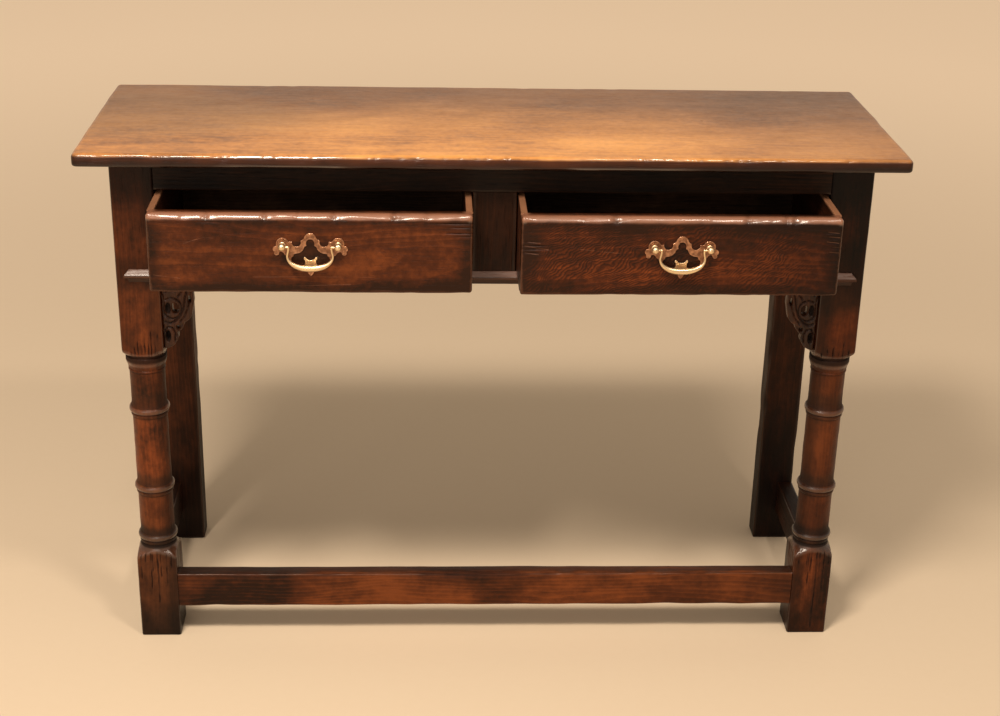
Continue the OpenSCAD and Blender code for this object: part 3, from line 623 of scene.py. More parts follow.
def relief(outer, holes, spacing, rims, height, front, back):
    """A carved plate: closed mesh of what lies between front - height and back, inside outer and outside the holes.

    rims are the distances from the border at which extra rows of points lie. height(points, border) gives how far
    each point lies behind the front plane.
    """
    loops = [even(l, spacing) for l in (outer, *holes)]
    every = np.vstack(loops)
    low, high = every.min(0), every.max(0)
    gx, gy = np.meshgrid(np.arange(low[0], high[0], spacing), np.arange(low[1], high[1], spacing))
    gx = gx + (np.arange(gx.shape[0])[:, None] % 2) * spacing / 2
    grid = np.column_stack([gx.ravel(), gy.ravel()])

    def border(points):
        return np.min([distance_to(points, l) for l in loops], axis=0)

    def within(points):
        kept = inside(points, loops[0])
        for hole in loops[1:]:
            kept &= ~inside(points, hole)
        return kept

    rows = []
    for l in loops:
        ahead = np.roll(l, -1, axis=0) - np.roll(l, 1, axis=0)
        side = np.column_stack([-ahead[:, 1], ahead[:, 0]]) / np.linalg.norm(ahead, axis=1)[:, None]
        for rim in rims:
            for sign in (-1, 1):
                row = l + side * sign * rim
                rows.append(row[within(row) & (border(row) > rim * 0.93)])
    grid = grid[within(grid)]
    grid = grid[border(grid) > max(rims) + spacing * 0.45]
    points = np.vstack([every, *rows, grid])
    edges, at = [], 0
    for l in loops:
        edges += [(at + i, at + (i + 1) % len(l)) for i in range(len(l))]
        at += len(l)
    found = delaunay_2d_cdt([Vector(p) for p in points], edges, [], 2, 1e-9)
    flat = np.array([tuple(v) for v in found[0]])
    tris = [list(f) for f in found[2]]
    centres = np.array([flat[f].mean(axis=0) for f in tris])
    tris = [f for f, keep in zip(tris, within(centres)) if keep]
    used = np.unique(np.concatenate([np.array(f) for f in tris]))
    lookup = np.full(len(flat), -1)
    lookup[used] = np.arange(len(used))
    flat = flat[used]
    tris = [[int(lookup[i]) for i in f] for f in tris]
    (ax, az), (bx, bz) = flat[tris[0][1]] - flat[tris[0][0]], flat[tris[0][2]] - flat[tris[0][0]]
    if ax * bz - az * bx < 0:
        tris = [f[::-1] for f in tris]
    n = len(flat)
    far = border(flat)
    deep = height(flat, far)
    points = np.vstack([
        np.column_stack([flat[:, 0], front + deep, flat[:, 1]]),
        np.column_stack([flat[:, 0], np.full(n, back), flat[:, 1]]),
    ])
    sides = {(a, b) for f in tris for a, b in zip(f, f[1:] + f[:1])}
    faces = tris + [[n + i for i in reversed(f)] for f in tris]
    faces += [[b, a, n + a, n + b] for a, b in sorted(sides) if (b, a) not in sides]
    return points, faces, far, deep


def mirror_x(points, faces):
    """The same solid on the other side of x = 0."""
    return points * (-1, 1, 1), [list(reversed(f)) for f in faces]


def wire(name, points, closed=False, **values):
    """A mesh line through points, with one number a point for each named value."""
    mesh = bpy.data.meshes.new(name)
    sides = [(i, i + 1) for i in range(len(points) - 1)] + ([(len(points) - 1, 0)] if closed else [])
    mesh.from_pydata([tuple(map(float, p)) for p in points], sides, [])
    for label, numbers in values.items():
        mesh.attributes.new(label, "FLOAT", "POINT").data.foreach_set("value", np.array(numbers, np.float32))
    return mesh


# Finishes

DEEP, MID, LIGHT = (0.017, 0.0050, 0.0018), (0.048, 0.0122, 0.0035), (0.112, 0.0285, 0.0075)
FRONT_DEEP, FRONT_MID, FRONT_LIGHT = (0.020, 0.0058, 0.0020), (0.068, 0.0158, 0.0042), (0.165, 0.041, 0.0095)
WORN = (0.22, 0.085, 0.036)
# Lighter top of the drawer fronts: rubbed wood, partly painted light from above
TOP_EDGE = (0.36, 0.152, 0.084)
# Colour of dents, cracks and hollows: dirt, and painted shade in the hollows of the legs and the brackets
DIRT_AND_SHADE = (0.008, 0.004, 0.003)
CURL_END = (0.475, 0.405)  # from the first x to the second the curled figure comes up
DULL = dict(gloss=0.5, shine=0.15, coat=0.0)

# Patches of painted light and painted shade on the front legs, with dust round the rings and the feet: colour,
# side (0 for both), height and half height
LEG_GRIME_AND_LIGHT_PATCHES = [
    ((0.72, 0.84, 1.00), 0, 0.408, 0.030), ((0.72, 0.88, 1.10), 0, 0.270, 0.025), ((0.42, 0.54, 0.78), 0, 0.176, 0.027),
    ((0.64, 0.74, 0.95), -1, 0.0, 0.075), ((0.53, 0.63, 0.82), -1, 0.04, 0.20), ((0.94, 0.94, 0.96), -1, 0.45, 0.07),
    ((1.85, 1.80, 1.75), -1, 0.350, 0.095), ((2.00, 2.05, 2.05), 1, 0.07, 0.12),
    ((0.60, 0.62, 0.66), -1, 0.630, 0.034), ((0.78, 0.78, 0.80), 1, 0.70, 0.18), ((0.34, 0.38, 0.44), 1, 0.630, 0.086)]
# Painted shade under the top's overhang, on the legs' inner sides and over the right leg, painted light on the lower
# right block, and dust and painted shade towards the floor, with the patches
LEG_GRIME_AND_PAINTED_LIGHT = [
    ((0.15, 0.17, 0.22), "z", 0.17, -0.04), ((0.56, 0.54, 0.54), "x", 0.1, 0.56),
    ((0.80, 0.79, 0.80), "z", 0.60, 0.66), ((0.20, 0.19, 0.20), "z", 0.68, 0.79),
    *[(tint, (side * 0.533, 0, z), (0.2 if side else 9, 9, half)) for tint, side, z, half in LEG_GRIME_AND_LIGHT_PATCHES],
    *[((0.42, 0.44, 0.48), (side * 0.494, 0, 0), (0.035, 9, 9)) for side in (-1, 1)],
    ((1.35, 1.25, 1.15), (0.55, 0, 0.545), (0.05, 9, 0.045))]

# The top's shading is painted light and shade: a darker front face and lower arris (partly patina), darker towards the
# back, the right and the left end, lighter in the middle, and a darker patch on the front face at the right
top_oak = oak("top_oak", "x", (0.220, 0.078, 0.018), (0.530, 0.218, 0.056), (0.760, 0.345, 0.095), (0.40, 0.17, 0.065),
              wear=3.0, rub=0.04, gloss=0.33, shine=0.33, coat=0.20, polish=1.7, coat_ior=1.9, figure=0.3,
              streaks=0.26, clouds=0.75, spots=0.8, cut=(0.3, 0.11, -0.77),
              grime_and_painted_light=[((0.090, 0.048, 0.046), "z", 0.8288, 0.8240), ((0.32, 0.28, 0.30), "z", 0.8240, 0.8125),
                      ((0.36, 0.33, 0.34), "y", -0.13, 0.24), ((0.75, 0.74, 0.76), "x", 0.2, 0.6),
                      ((1.18, 1.20, 1.13), (0.02, -0.08, 0.83), (0.44, 0.27, 1)),
                      ((0.80, 0.84, 0.87), (-0.56, 0.05, 0.83), (0.36, 0.17, 1)),
                      ((0.62, 0.60, 0.62), (0.47, -0.164, 0.815), (0.26, 0.02, 0.0115))],
              lit=[((-0.315, -0.164, 0.83), (0.11, 0.1, 1)), ((0.19, -0.164, 0.83), (0.12, 0.1, 1))])
# Near-black: the front rails and the back apron carry the shade of the top's overhang as painted shade
rail_oak = oak("rail_oak", "x", (0.006, 0.003, 0.002), (0.016, 0.0068, 0.0034), (0.04, 0.014, 0.006), WORN,
               wear=2.0, rub=0.15, cut=(0.1, 0.2, -0.5), **DULL)
# Dark wood for the shaded hollow (painted shade) and a pale face on the lit bevel (painted light)
moulding_oak = oak("moulding_oak", "x", (0.010, 0.0034, 0.0014), (0.028, 0.0080, 0.0026), (0.065, 0.018, 0.0055), WORN,
                   wear=2.0, gloss=0.36, shine=0.3, coat=0.05, cut=(0.1, 0.7, -0.5),
                   face=((0.19, 0.100, 0.073), 0.6315, 0.6335))
# The stretcher's top face is painted dark as the shade under the drawers, and its ends by the legs are darker (painted
# shade)
stretcher_oak = oak("stretcher_oak", "x", DEEP, (0.084, 0.0205, 0.0052), (0.190, 0.048, 0.0112), WORN,
                    wear=4.0, rub=0.25, gloss=0.42, shine=0.17, coat=0.0, polish=0.12, streaks=0.35, clouds=1.2,
                    cut=(0.7, 0.17, 0.02), face=((0.014, 0.0065, 0.0035), 0.1130, 0.1146),
                    grime_and_painted_light=[((0.5, 0.5, 0.55), "x", -0.42, -0.51), ((0.5, 0.5, 0.55), "x", 0.40, 0.51)])
leg_oak = oak("leg_oak", "z", DEEP, (0.104, 0.0245, 0.0062), (0.225, 0.057, 0.0135), WORN,
              wear=3.0, rub=0.17, gloss=0.38, shine=0.16, coat=0.03, polish=1.6, glaze=0.26, figure=0.2, streaks=0.3,
              clouds=1.1, spots=0.8, cut=(0.2, 0.05, 0.13), grime_and_painted_light=LEG_GRIME_AND_PAINTED_LIGHT)
# Darker than the front legs for the shade under the table, lighter on the left and near-black towards the floor:
# painted light and shade, also on the centre muntin
rear_oak = oak("rear_oak", "z", (0.020, 0.0068, 0.0028), (0.050, 0.0148, 0.0050), (0.120, 0.0330, 0.0098), WORN,
               wear=3.0, rub=0.12, streaks=0.6, cut=(0.5, 0.3, 0.21), **DULL,
               grime_and_painted_light=[((0.58, 0.57, 0.56), "x", -0.50, 0.0), ((0.20, 0.20, 0.23), "z", 0.42, 0.12)])
# Darker towards the floor, where the side stretchers lie in the shade under the table: painted shade
side_oak = oak("side_oak", "y", (0.010, 0.0036, 0.0016), (0.026, 0.0082, 0.0030), (0.065, 0.0190, 0.0060), WORN,
               wear=2.5, rub=0.12, cut=(0.4, 0.1, -0.3), **DULL, grime_and_painted_light=[((0.58, 0.60, 0.66), "z", 0.40, 0.20)])
# The face lightens the rubbed top of each front, partly as painted light from above
FRONT = dict(wear=4.5, rub=0.2, shine=0.15, coat=0.03, polish=1.7, glaze=0.25, coat_ior=1.7, face_reach=17,
             rim=0.34, rim_width=30, clouds=0.7, spots=1.2, face=(TOP_EDGE, 0.7498, 0.7555), bump=1.2)
# The fronts darken towards their ends, the right front's right end most (painted shade), and round each handle (its
# painted shadow, with dirt)
left_front_oak = oak(
    "left_front_oak", "x", FRONT_DEEP, FRONT_MID, FRONT_LIGHT, TOP_EDGE, gloss=0.40, streaks=0.3,
    cut=(0.9, 0.06, -0.64), **FRONT,
    grime_and_painted_light=[((0.78, 0.84, 0.90), "x", -0.44, -0.50), ((0.25, 0.28, 0.34), (-0.267, 0, 0.700), (0.058, 9, 0.034))],
    scratches=[((-0.447, 0.7165), (-0.419, 0.7255), 0.0009), ((-0.419, 0.7255), (-0.405, 0.7245), 0.0007),
               ((-0.492, 0.668), (-0.455, 0.6635), 0.0007), ((-0.350, 0.666), (-0.18, 0.6665), 0.0006),
               ((-0.30, 0.652), (-0.21, 0.655), 0.0006)])
right_front_oak = oak(
    "right_front_oak", "x", FRONT_DEEP, (0.060, 0.0130, 0.0033), (0.185, 0.041, 0.0088), TOP_EDGE, gloss=0.42,
    streaks=0.12, cut=(1.9, 0.02, -0.55), curl=0.3, **FRONT,
    grime_and_painted_light=[((0.42, 0.42, 0.44), "x", 0.26, 0.50), ((0.32, 0.35, 0.42), (0.267, 0, 0.700), (0.058, 9, 0.034))],
    scratches=[((0.040, 0.7165), (0.074, 0.7110), 0.0011), ((0.044, 0.7225), (0.062, 0.7205), 0.0009),
               ((0.041, 0.7060), (0.060, 0.7035), 0.0009), ((0.12, 0.712), (0.20, 0.704), 0.0006),
               ((0.478, 0.7403), (0.494, 0.7385), 0.0009), ((0.480, 0.7331), (0.495, 0.7320), 0.0009),
               ((0.477, 0.7256), (0.494, 0.7235), 0.0008), ((0.482, 0.7181), (0.496, 0.7165), 0.0008),
               ((0.482, 0.7100), (0.496, 0.7085), 0.0008)])
drawer_oak = oak("drawer_oak", "y", DEEP, MID, LIGHT, TOP_EDGE, wear=2.0, rub=0.2, gloss=0.45, shine=0.3, coat=0.0,
                 cut=(0.4, 0.6, 0.3), face=((0.36, 0.165, 0.085), 0.7555, 0.7585))
# Dark, for the brackets that sit in the shade under the rail: partly painted shade
carved_oak = oak("carved_oak", "z", (0.008, 0.003, 0.0015), (0.034, 0.0100, 0.0034), (0.080, 0.0225, 0.0065), WORN,
                 wear=1.6, rub=0.1, gloss=0.45, shine=0.3, coat=0.0, polish=0.0, cut=(0.15, 0.33, 0.4))
INNER = ((0.030, 0.014, 0.0075), (0.070, 0.034, 0.017), (0.13, 0.066, 0.034), WORN)
inner_x, inner_y = [oak("inner_oak_" + grain, grain, *INNER, gloss=0.62, shine=0.2, coat=0.0, arris=False)
                    for grain in "xy"]
brass = metal("brass", (0.86, 0.68, 0.44), (0.60, 0.40, 0.22), 0.25, 0.35, 0.4, 0.25)
copper_brass = metal("worn_brass", (0.58, 0.31, 0.190), (0.18, 0.080, 0.045), 0.27, 0.75,
                     crown=((0.86, 0.66, 0.42), 0.267, 0.010, 0.679, 0.699))
steel = metal("steel", (0.42, 0.41, 0.39), (0.22, 0.20, 0.18), 0.42, 0.6)


# The frame

leg_low, leg_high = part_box("front_leg_right")
rear_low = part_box("rear_leg_right")[0]

# Tenons: how thick they are, how far in from their board's edges they start, and how far they reach back into it
TENON_T, SHOULDER, LAP = 0.009, 0.008, 0.001

# Middle of a front leg, and its heights and radii in mm; the nose of each ring is counted from the foot's top
LEG_X, LEG_Y = 533, -90
FOOT_TOP, NECK, BLOCK = 161, 466, 495
RING_NOSES = (16.504, 104.5, 240)
COLUMN_R, COLLAR_R, SQUARE_R = 27.2, 31.7, 64

# Nicks in the front arris of the top, in mm: x, half width, depth
TOP_NICKS = [
    (-574, 5, 0.9), (-491, 4, 1.5), (-480, 3, 1.6), (-472, 3, 1.0), (-404, 5, 1.1), (-390, 9, 1.9), (-375, 3, 1.0),
    (-333, 3, 0.9), (-317, 2.4, 1.3), (-264, 2.4, 1.0), (-186, 3, 1.5), (-176, 4, 1.6), (-141, 6, 1.9), (-118, 8, 2.3),
    (-77, 3, 1.0), (-54, 3, 1.1), (-30, 6, 1.8), (-16, 5, 2.0), (15, 3, 1.8), (215, 3, 1.6), (264, 5, 1.7),
    (284, 3, 0.9), (297, 5, 1.3), (334, 4, 1.2), (352, 5, 1.8), (366, 9, 2.2), (384, 3, 1.2), (416, 5, 1.4),
    (456, 3, 1.0), (513, 3.5, 1.9)]

# Corners in mm, each with the rise of the arc to the next: half a backplate, half its keyhole, and as shares of its
# width and height the leaf of a bracket
PLATE_EDGE = [(0, 17.8, 2.1), (9, 10, -0.5), (14, 6.4, -8.4), (26.2, 4.9, -0.4), (31.2, 4.9, 8.8), (48.4, -1.4, 0),
              (50.3, -2.2, 2.4), (52.2, -9.8, 0), (51.4, -10.4, 4.8), (44.6, -12.2, 0), (43.6, -10.8, -0.8),
              (38.2, -12.4, 0.8), (33.4, -17, 2.4), (22, -31.6, 1.6), (8.6, -37.8, -0.8), (5, -40.4, 0.6),
              (0, -47.6, 0)]
KEYHOLE_EDGE = [(0, 8.6, 1.7), (5.7, 2.8, 0.4), (5.2, -1, -0.3), (6.8, -1.8, 0), (8.6, -3.4, -2), (18, -13, 0.3),
                (23.6, -14.2, 0), (24.2, -17.2, 0.5), (27.4, -20.4, 2.6), (20.4, -29.8, 0.8), (11.4, -31.6, 0.9),
                (7.9, -27, 0), (7.8, -23.4, -0.6), (9.6, -20.5, -1.2), (7, -18.9, 0), (5.4, -21.4, 0.4), (0, -23.2, 0)]
BRACKET_LEAF = [(0, 0, 0), (0.97, 0, -2), (0.91, -0.13, 2.5), (0.86, -0.5, 2.5), (0.63, -0.62, 2), (0.47, -0.75, 0),
                (0.4, -0.78, 2.2), (0.37, -0.9, 1.5), (0.2, -0.98, 0), (0.12, -1, 0), (0, -1, 0)]
POST_SPAN = 0.040  # from the middle of a handle to each post
BAIL_OUT = 11.5  # from the face of a drawer to the axis of its bail, in mm


def mirrored_box(low, high):
    """The box on the other side of x = 0."""
    return (-high[0], low[1], low[2]), (-low[0], high[1], high[2])


def side_by(side, low, high):
    """The box on the right (side 1) or its mirror image on the left."""
    return (tuple(low), tuple(high)) if side > 0 else mirrored_box(low, high)


def table_top():
    """The top board, with rounded corners in plan, worn arrises and nicks in the front one."""
    low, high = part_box("table_top")
    plan_r, upper_r, lower_r = 0.009, 0.0066, 0.0035
    xs = spaced(low.x, high.x, plan_r, 0.0026)
    ys = np.concatenate([low.y + np.array([0, 0.4, 1, 1.8, 2.8, 4, 5.6, 8, 11, 15, 20]) * MM,
                         np.linspace(low.y + 0.027, high.y - 0.012, 32),
                         high.y - np.array([8, 5.6, 4, 2.6, 1.6, 0.7, 0]) * MM])
    zs = spaced(low.z, high.z, 0.0078, 0.0015)
    points, faces = box_shell(xs, ys, zs)
    start = points.copy()
    # Corners in plan
    inner = np.clip(points[:, :2], (low.x + plan_r, low.y + plan_r), (high.x - plan_r, high.y - plan_r))
    off = points[:, :2] - inner
    length = np.linalg.norm(off, axis=1)
    reach = np.abs(off).max(axis=1)
    side = off / np.maximum(length, 1e-9)[:, None]
    points[:, :2] = inner + side * reach[:, None]
    # Edges in section
    near = np.minimum(np.minimum(start[:, 0] - low.x, high.x - start[:, 0]),
                      np.minimum(start[:, 1] - low.y, high.y - start[:, 1]))
    above = high.z - start[:, 2] < start[:, 2] - low.z
    level = np.where(above, high.z - start[:, 2], start[:, 2] - low.z)
    r = np.where(above, upper_r, lower_r) * (1 + 0.3 * np.clip(ripple(start, 0.06, 3), -1, 1))
    a, b = np.clip(r - near, 0, None), np.clip(r - level, 0, None)
    m, h = np.maximum(a, b), np.maximum(np.hypot(a, b), 1e-9)
    points[:, :2] += side * (a * m / h - a)[:, None]
    points[:, 2] += (b * m / h - b) * np.where(above, 1, -1)
    outward = np.column_stack([side * (a / h)[:, None], b / h * np.where(above, 1, -1)])
    # The hand-planed face is a little uneven, the arrises more so
    wave = 0.5 + 0.5 * np.clip(ripple(start, (0.16, 0.07, 0.1), 8), -1, 1)
    points -= outward * (wave * 0.00035)[:, None]
    arris_y, arris_z = low.y + MM, high.z - MM
    dents = [((x * MM, arris_y, arris_z), (w * MM, 0.0042, 0.0042), d * 0.8 * MM) for x, w, d in TOP_NICKS]
    dents += [((-0.09, arris_y, arris_z), (0.09, 0.006, 0.006), 0.0011),
              ((0.34, arris_y, arris_z), (0.05, 0.005, 0.005), 0.0007),
              ((-0.392, low.y, high.z - 0.006), (0.006, 0.004, 0.003), 0.0010),
              ((-0.28, low.y, high.z - 0.008), (0.004, 0.004, 0.003), 0.0007)]
    rng = np.random.default_rng(11)
    for _ in range(14):
        end = rng.choice([low.x, high.x])
        spot = (end, rng.uniform(low.y, high.y)) if rng.random() < 0.4 else (rng.uniform(low.x, high.x), high.y)
        dents.append(((*spot, high.z), (0.009, 0.007, 0.005), rng.uniform(0.0003, 0.0009)))
    points, depth = dented(points, outward, dents)
    gaps = np.sort(np.array([near, level]), axis=0)
    edge = np.where(gaps[0] < 1e-6, gaps[1], FAR)
    piece("table_top_board", points, faces, top_oak, "frame", ["table_top"], edge,
          np.clip(depth / 0.0045, 0, 0.45))


def ring_profile(z):
    """One ring of the turning round its nose: a flat bead below, the nose, and a hollow flare above it."""
    stand, height = 4.5, 31
    return (bow((COLUMN_R, z - 0.27 * height), 0.45 * stand, 0.11 * height, -90, 60, 8)
            + bow((COLUMN_R + 0.3 * stand, z - 0.01 * height), 0.7 * stand, 0.14 * height, -70, 55, 10)
            + bow((COLUMN_R + 0.7 * stand, z + 0.46 * height), 0.7 * stand, 0.355 * height, -90, -180, 8))


def leg_profile():
    """Radius and height of a front leg's turning in mm, from the floor up; at SQUARE_R the leg is square."""
    line = [(SQUARE_R, z) for z in (0, 0.4, 1.1, 2.3, FOOT_TOP - 30)]
    line += [(46, FOOT_TOP - 16), (39, FOOT_TOP - 10), (34.5, FOOT_TOP - 6.6), (31.6, FOOT_TOP - 4.2),
             (29.6, FOOT_TOP - 1.6), (COLUMN_R + 1, FOOT_TOP + 1.5)]
    for nose in RING_NOSES:
        line += ring_profile(FOOT_TOP + nose)
    line += bow((COLUMN_R, NECK + 2.2), 1.2, 2, -90, 80, 6)
    line += [(COLUMN_R + 0.3, NECK + 4.5), (28.55, NECK + 7.6), (29.63, NECK + 11), (30.89, NECK + 14.6),
             (COLLAR_R, NECK + 17.5), (COLLAR_R, BLOCK - 4), (COLLAR_R - 1.6, BLOCK - 3), (COLLAR_R - 1.6, BLOCK - 0.6),
             (COLLAR_R, BLOCK), (46, BLOCK + 11.4), (SQUARE_R, BLOCK + 20), (SQUARE_R, leg_high.z / MM)]
    fine = []
    for (r0, z0), (r1, z1) in zip(line, line[1:]):
        span = math.hypot(min(r1, 46) - min(r0, 46), z1 - z0)
        n = max(1, int(math.ceil(span / (3.2 if min(r0, r1) > 50 else 1.3))))
        fine += [(r0 + (r1 - r0) * i / n, z0 + (z1 - z0) * i / n) for i in range(n)]
    return np.array(fine + [line[-1]])


def crack_depth(cracks, faces_at, turn, along, z, seed):
    """How deep each point at height z lies in the cracks, in mm."""
    depth = np.zeros(len(along))
    for face, at, z0, z1, width, deep in cracks:
        if z0 - 1 < z < z1 + 1:
            ends = min(1, max(0, (z - z0) / 6 + 0.15)) * min(1, max(0, (z1 - z) / 6 + 0.15))
            drift = at + 0.35 * math.sin(z * 0.05 + 2.3 * at) + 0.25 * math.sin(z * 0.31 + 5 * at)
            near = np.exp(-((along - drift) / width) ** 2)
            broken = 0.62 + 0.55 * float(ripple(np.array([[at, 0.0, z]]), (1, 1, 13), seed + 2)[0])
            depth += np.where(turn == faces_at[face], near * deep * ends * min(max(broken, 0.05), 1.1), 0)
    return depth


def leg_dust_and_shade(radius, z):
    """How dark the turning is made at this height, from 0 to 1: painted shade under the top block and in the hollows by
    the rings and the foot, and dust above each ring.
    """
    if 480 < z < 498 and radius < 40:
        return 0.9 * min(1, (z - 480) / 6)
    if 159 < z < 167:
        return 0.9 * min(1, (z - 159) / 2, (167 - z) / 2)
    if not (158 < z < 470 and radius < 46):
        return 0.0
    hollows = [FOOT_TOP + nose + off for nose in RING_NOSES for off in (-12.3, -4.6, 15.0)] + [466.5]
    dust_and_shade_level = max(0.5 * math.exp(-((z - low_z) / 1.7) ** 2) for low_z in hollows)
    for nose_z in (178, 266, 401):
        away = z - nose_z
        dust_and_shade_level = max(dust_and_shade_level, (0.62 if abs(away) > 5 else 0.12) * math.exp(-(away / (30 if away > 0 else 9)) ** 2))
    return dust_and_shade_level


def front_leg(end, side, cracks, seed):
    """A block, a turned column with rings and a taller block; cracks are (face, across, z from, z to, width, depth).

    All of it is worked out in mm, round the middle of the leg.
    """
    half = 32.0
    across = spaced(-half, half, 4.5, 1.35)[:-1]
    # Round the square, anticlockwise from above: the face's own axis and direction
    around = []
    for turn in range(4):
        c, s = [(1, 0), (0, 1), (-1, 0), (0, -1)][turn]
        around += [(turn, a, half * c - a * s, half * s + a * c) for a in across]
    turn = np.array([p[0] for p in around])
    along = np.array([p[1] for p in around])
    square = np.array([p[2:] for p in around])
    faces_at = {"outer" if side > 0 else "inner": 0, "back": 1, "inner" if side > 0 else "outer": 2, "front": 3}
    rings, edges, dents = [], [], []
    for radius, z in leg_profile():
        place = np.column_stack([square, np.full(len(square), z)]) * MM
        corner = 3.4 + 1.1 * np.clip(ripple(place, (0.2, 0.2, 0.05), seed), -1, 1)
        inner = np.clip(square, -(half - corner)[:, None], (half - corner)[:, None])
        off = square - inner
        shape = inner + off / np.maximum(np.linalg.norm(off, axis=1), 1e-9)[:, None] * corner[:, None]
        foot = 2.2 - math.sqrt(max(0.0, 2.2 ** 2 - max(0.0, 2.2 - z) ** 2))
        shape *= 1 - foot / half
        size = np.linalg.norm(shape, axis=1)
        turned = radius + 0.35 * np.clip(ripple(place, (0.03, 0.03, 0.02), seed + 3), -1, 1)
        if 31.8 < radius < 63:
            turned = turned + 1.1 * np.clip(ripple(place, (0.012, 0.012, 0.2), seed + 7), -1, 1)
        # Square and turning meet in an arris that is rounder at the shoulders
        blend = 0.9 + 8 * max(min((z - 120) / 5, (160 - z) / 8, 1), min((z - 495) / 4, (525 - z) / 5, 1), 0)
        smooth_low = (size + turned - np.sqrt((size - turned) ** 2 + blend)) / 2
        lump = 0.35 * (0.5 + 0.5 * np.clip(ripple(place, (0.04, 0.04, 0.06), seed + 9), -1, 1))
        depth = np.zeros(len(square))
        if radius > 29 and (z < 170 or z > 490):
            depth = crack_depth(cracks, faces_at, turn, along, z, seed)
        final = np.maximum(smooth_low - lump - depth, 4)
        ring = shape / size[:, None] * final[:, None]
        rings.append(np.column_stack([ring + (side * LEG_X, LEG_Y), np.full(len(ring), z)]) * MM)
        if z < 163 or z > 494:
            slope = np.where(size > turned, 0.12, 0.8) * np.abs(size - turned) + 0.4
            edges.append(np.minimum(half - np.abs(along) + 3.5, slope) * MM)
        else:
            edges.append(np.full(len(ring), 1.0 + max(0.0, 31.4 - radius) * 2.2) * MM)
        # The dent attribute carries the cracks and the turning's dust and painted shade
        dents.append(np.clip(depth / 1.6 + leg_dust_and_shade(radius, z), 0, 1))
    points, faces = loft(rings)
    name = "front_leg_" + end
    piece(name + "_turned", points, faces, leg_oak, "frame", [name], np.concatenate(edges),
          np.concatenate(dents), sharp=60)


def leg_cracks(seed, foot_front, block_front):
    """Drying cracks at the ends of both blocks, more of them on the front, which are given as (across, length)."""
    rng = np.random.default_rng(seed)

    def at_foot(face, across, length, widths, depths):
        return face, across, 154 - length, 155, rng.uniform(*widths), rng.uniform(*depths)

    def at_block(face, across, length, widths, depths):
        return face, across, 497, 500 + length, rng.uniform(*widths), rng.uniform(*depths)

    cracks = [at_foot("front", *crack, (0.85, 1.35), (2.0, 3.2)) for crack in foot_front]
    cracks += [at_block("front", *crack, (0.85, 1.2), (1.8, 3.0)) for crack in block_front]
    for face in ("inner", "outer", "back"):
        cracks += [at_foot(face, rng.uniform(-26, 26), rng.uniform(15, 80), (0.7, 1.0), (1.0, 2.2)) for _ in range(6)]
        cracks += [at_block(face, rng.uniform(-26, 26), rng.uniform(12, 45), (0.7, 1.0), (1.0, 2.0)) for _ in range(4)]
    return cracks


def cross_rail(node, material, soft, radius, seed, lying=False, **more):
    """A rail between two legs, with a tenon at each end that stands upright or lies flat."""
    low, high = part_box(node)
    end, reach = leg_low.x, high.x - leg_low.x
    if lying:
        mid = (low.z + high.z) / 2
        tenon = ((end - LAP, low.y + SHOULDER, mid - TENON_T / 2),
                 (end + reach, high.y - 2 * SHOULDER, mid + TENON_T / 2))
    else:
        mid = (low.y + high.y) / 2
        tenon = ((end - LAP, mid - TENON_T / 2, low.z + SHOULDER), (end + reach, mid + TENON_T / 2, high.z - SHOULDER))
    board(node + "_board", (-end, low.y, low.z), (end, high.y, high.z), material,
          tenons=[tenon, mirrored_box(*tenon)], soft=soft, radius=radius, seed=seed, replaces=[node], **more)


def front_stretcher():
    """The low front rail; its upper arris is worn hollow in places, given in mm as x, half width, depth."""
    low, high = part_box("front_stretcher")
    rng = np.random.default_rng(5)
    dents = [((x * MM, low.y + MM, high.z - MM), (w * MM, 0.008, 0.007), d * MM) for x, w, d in (
        (-395, 40, 1.6), (-330, 14, 1.4), (-262, 30, 2.6), (-208, 10, 1.4), (-150, 60, 1.8), (-98, 14, 1.6),
        (-60, 20, 2.2), (-10, 70, 3.0), (60, 30, 1.6), (96, 9, 2.0), (110, 9, 2.0), (150, 14, 2.2), (190, 40, 2.0),
        (250, 12, 1.8), (268, 8, 1.8), (330, 30, 2.2), (352, 9, 1.6), (420, 30, 1.6))]
    dents += [((x * MM, low.y, z * MM), (w * MM, 0.004, h * MM), 0.0016) for x, z, w, h in (
        (-368, 86, 4, 5), (-366, 70, 3, 3), (351, 96, 4, 4), (-250, 92, 3, 6), (-30, 84, 5, 3), (-20, 76, 3, 3))]
    dents += [((rng.uniform(-0.49, 0.49), low.y, 0.056), (0.02, 0.006, 0.005), rng.uniform(0.0003, 0.0010))
              for _ in range(12)]
    cross_rail("front_stretcher", stretcher_oak, "y-y+z-z+", 3.6, 6, wobble=0.9, step=3.2, dents=dents, darkest=5.0)


def centre_muntin():
    """The upright between the drawers, with a stub tenon at each end."""
    low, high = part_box("centre_muntin")
    bottom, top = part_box("lower_front_rail")[1].z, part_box("upper_front_rail")[0].z
    front, back = (low.y + high.y) / 2 - TENON_T / 2, (low.y + high.y) / 2 + TENON_T / 2
    stubs = [((low.x + SHOULDER, front, top - LAP), (high.x - SHOULDER, back, high.z)),
             ((low.x + SHOULDER, front, low.z), (high.x - SHOULDER, back, bottom + LAP))]
    board("centre_muntin_board", (low.x, low.y, bottom), (high.x, high.y, top), rear_oak, tenons=stubs,
          soft="x-x+y-y+", radius=1.4, replaces=["centre_muntin"], seed=7)


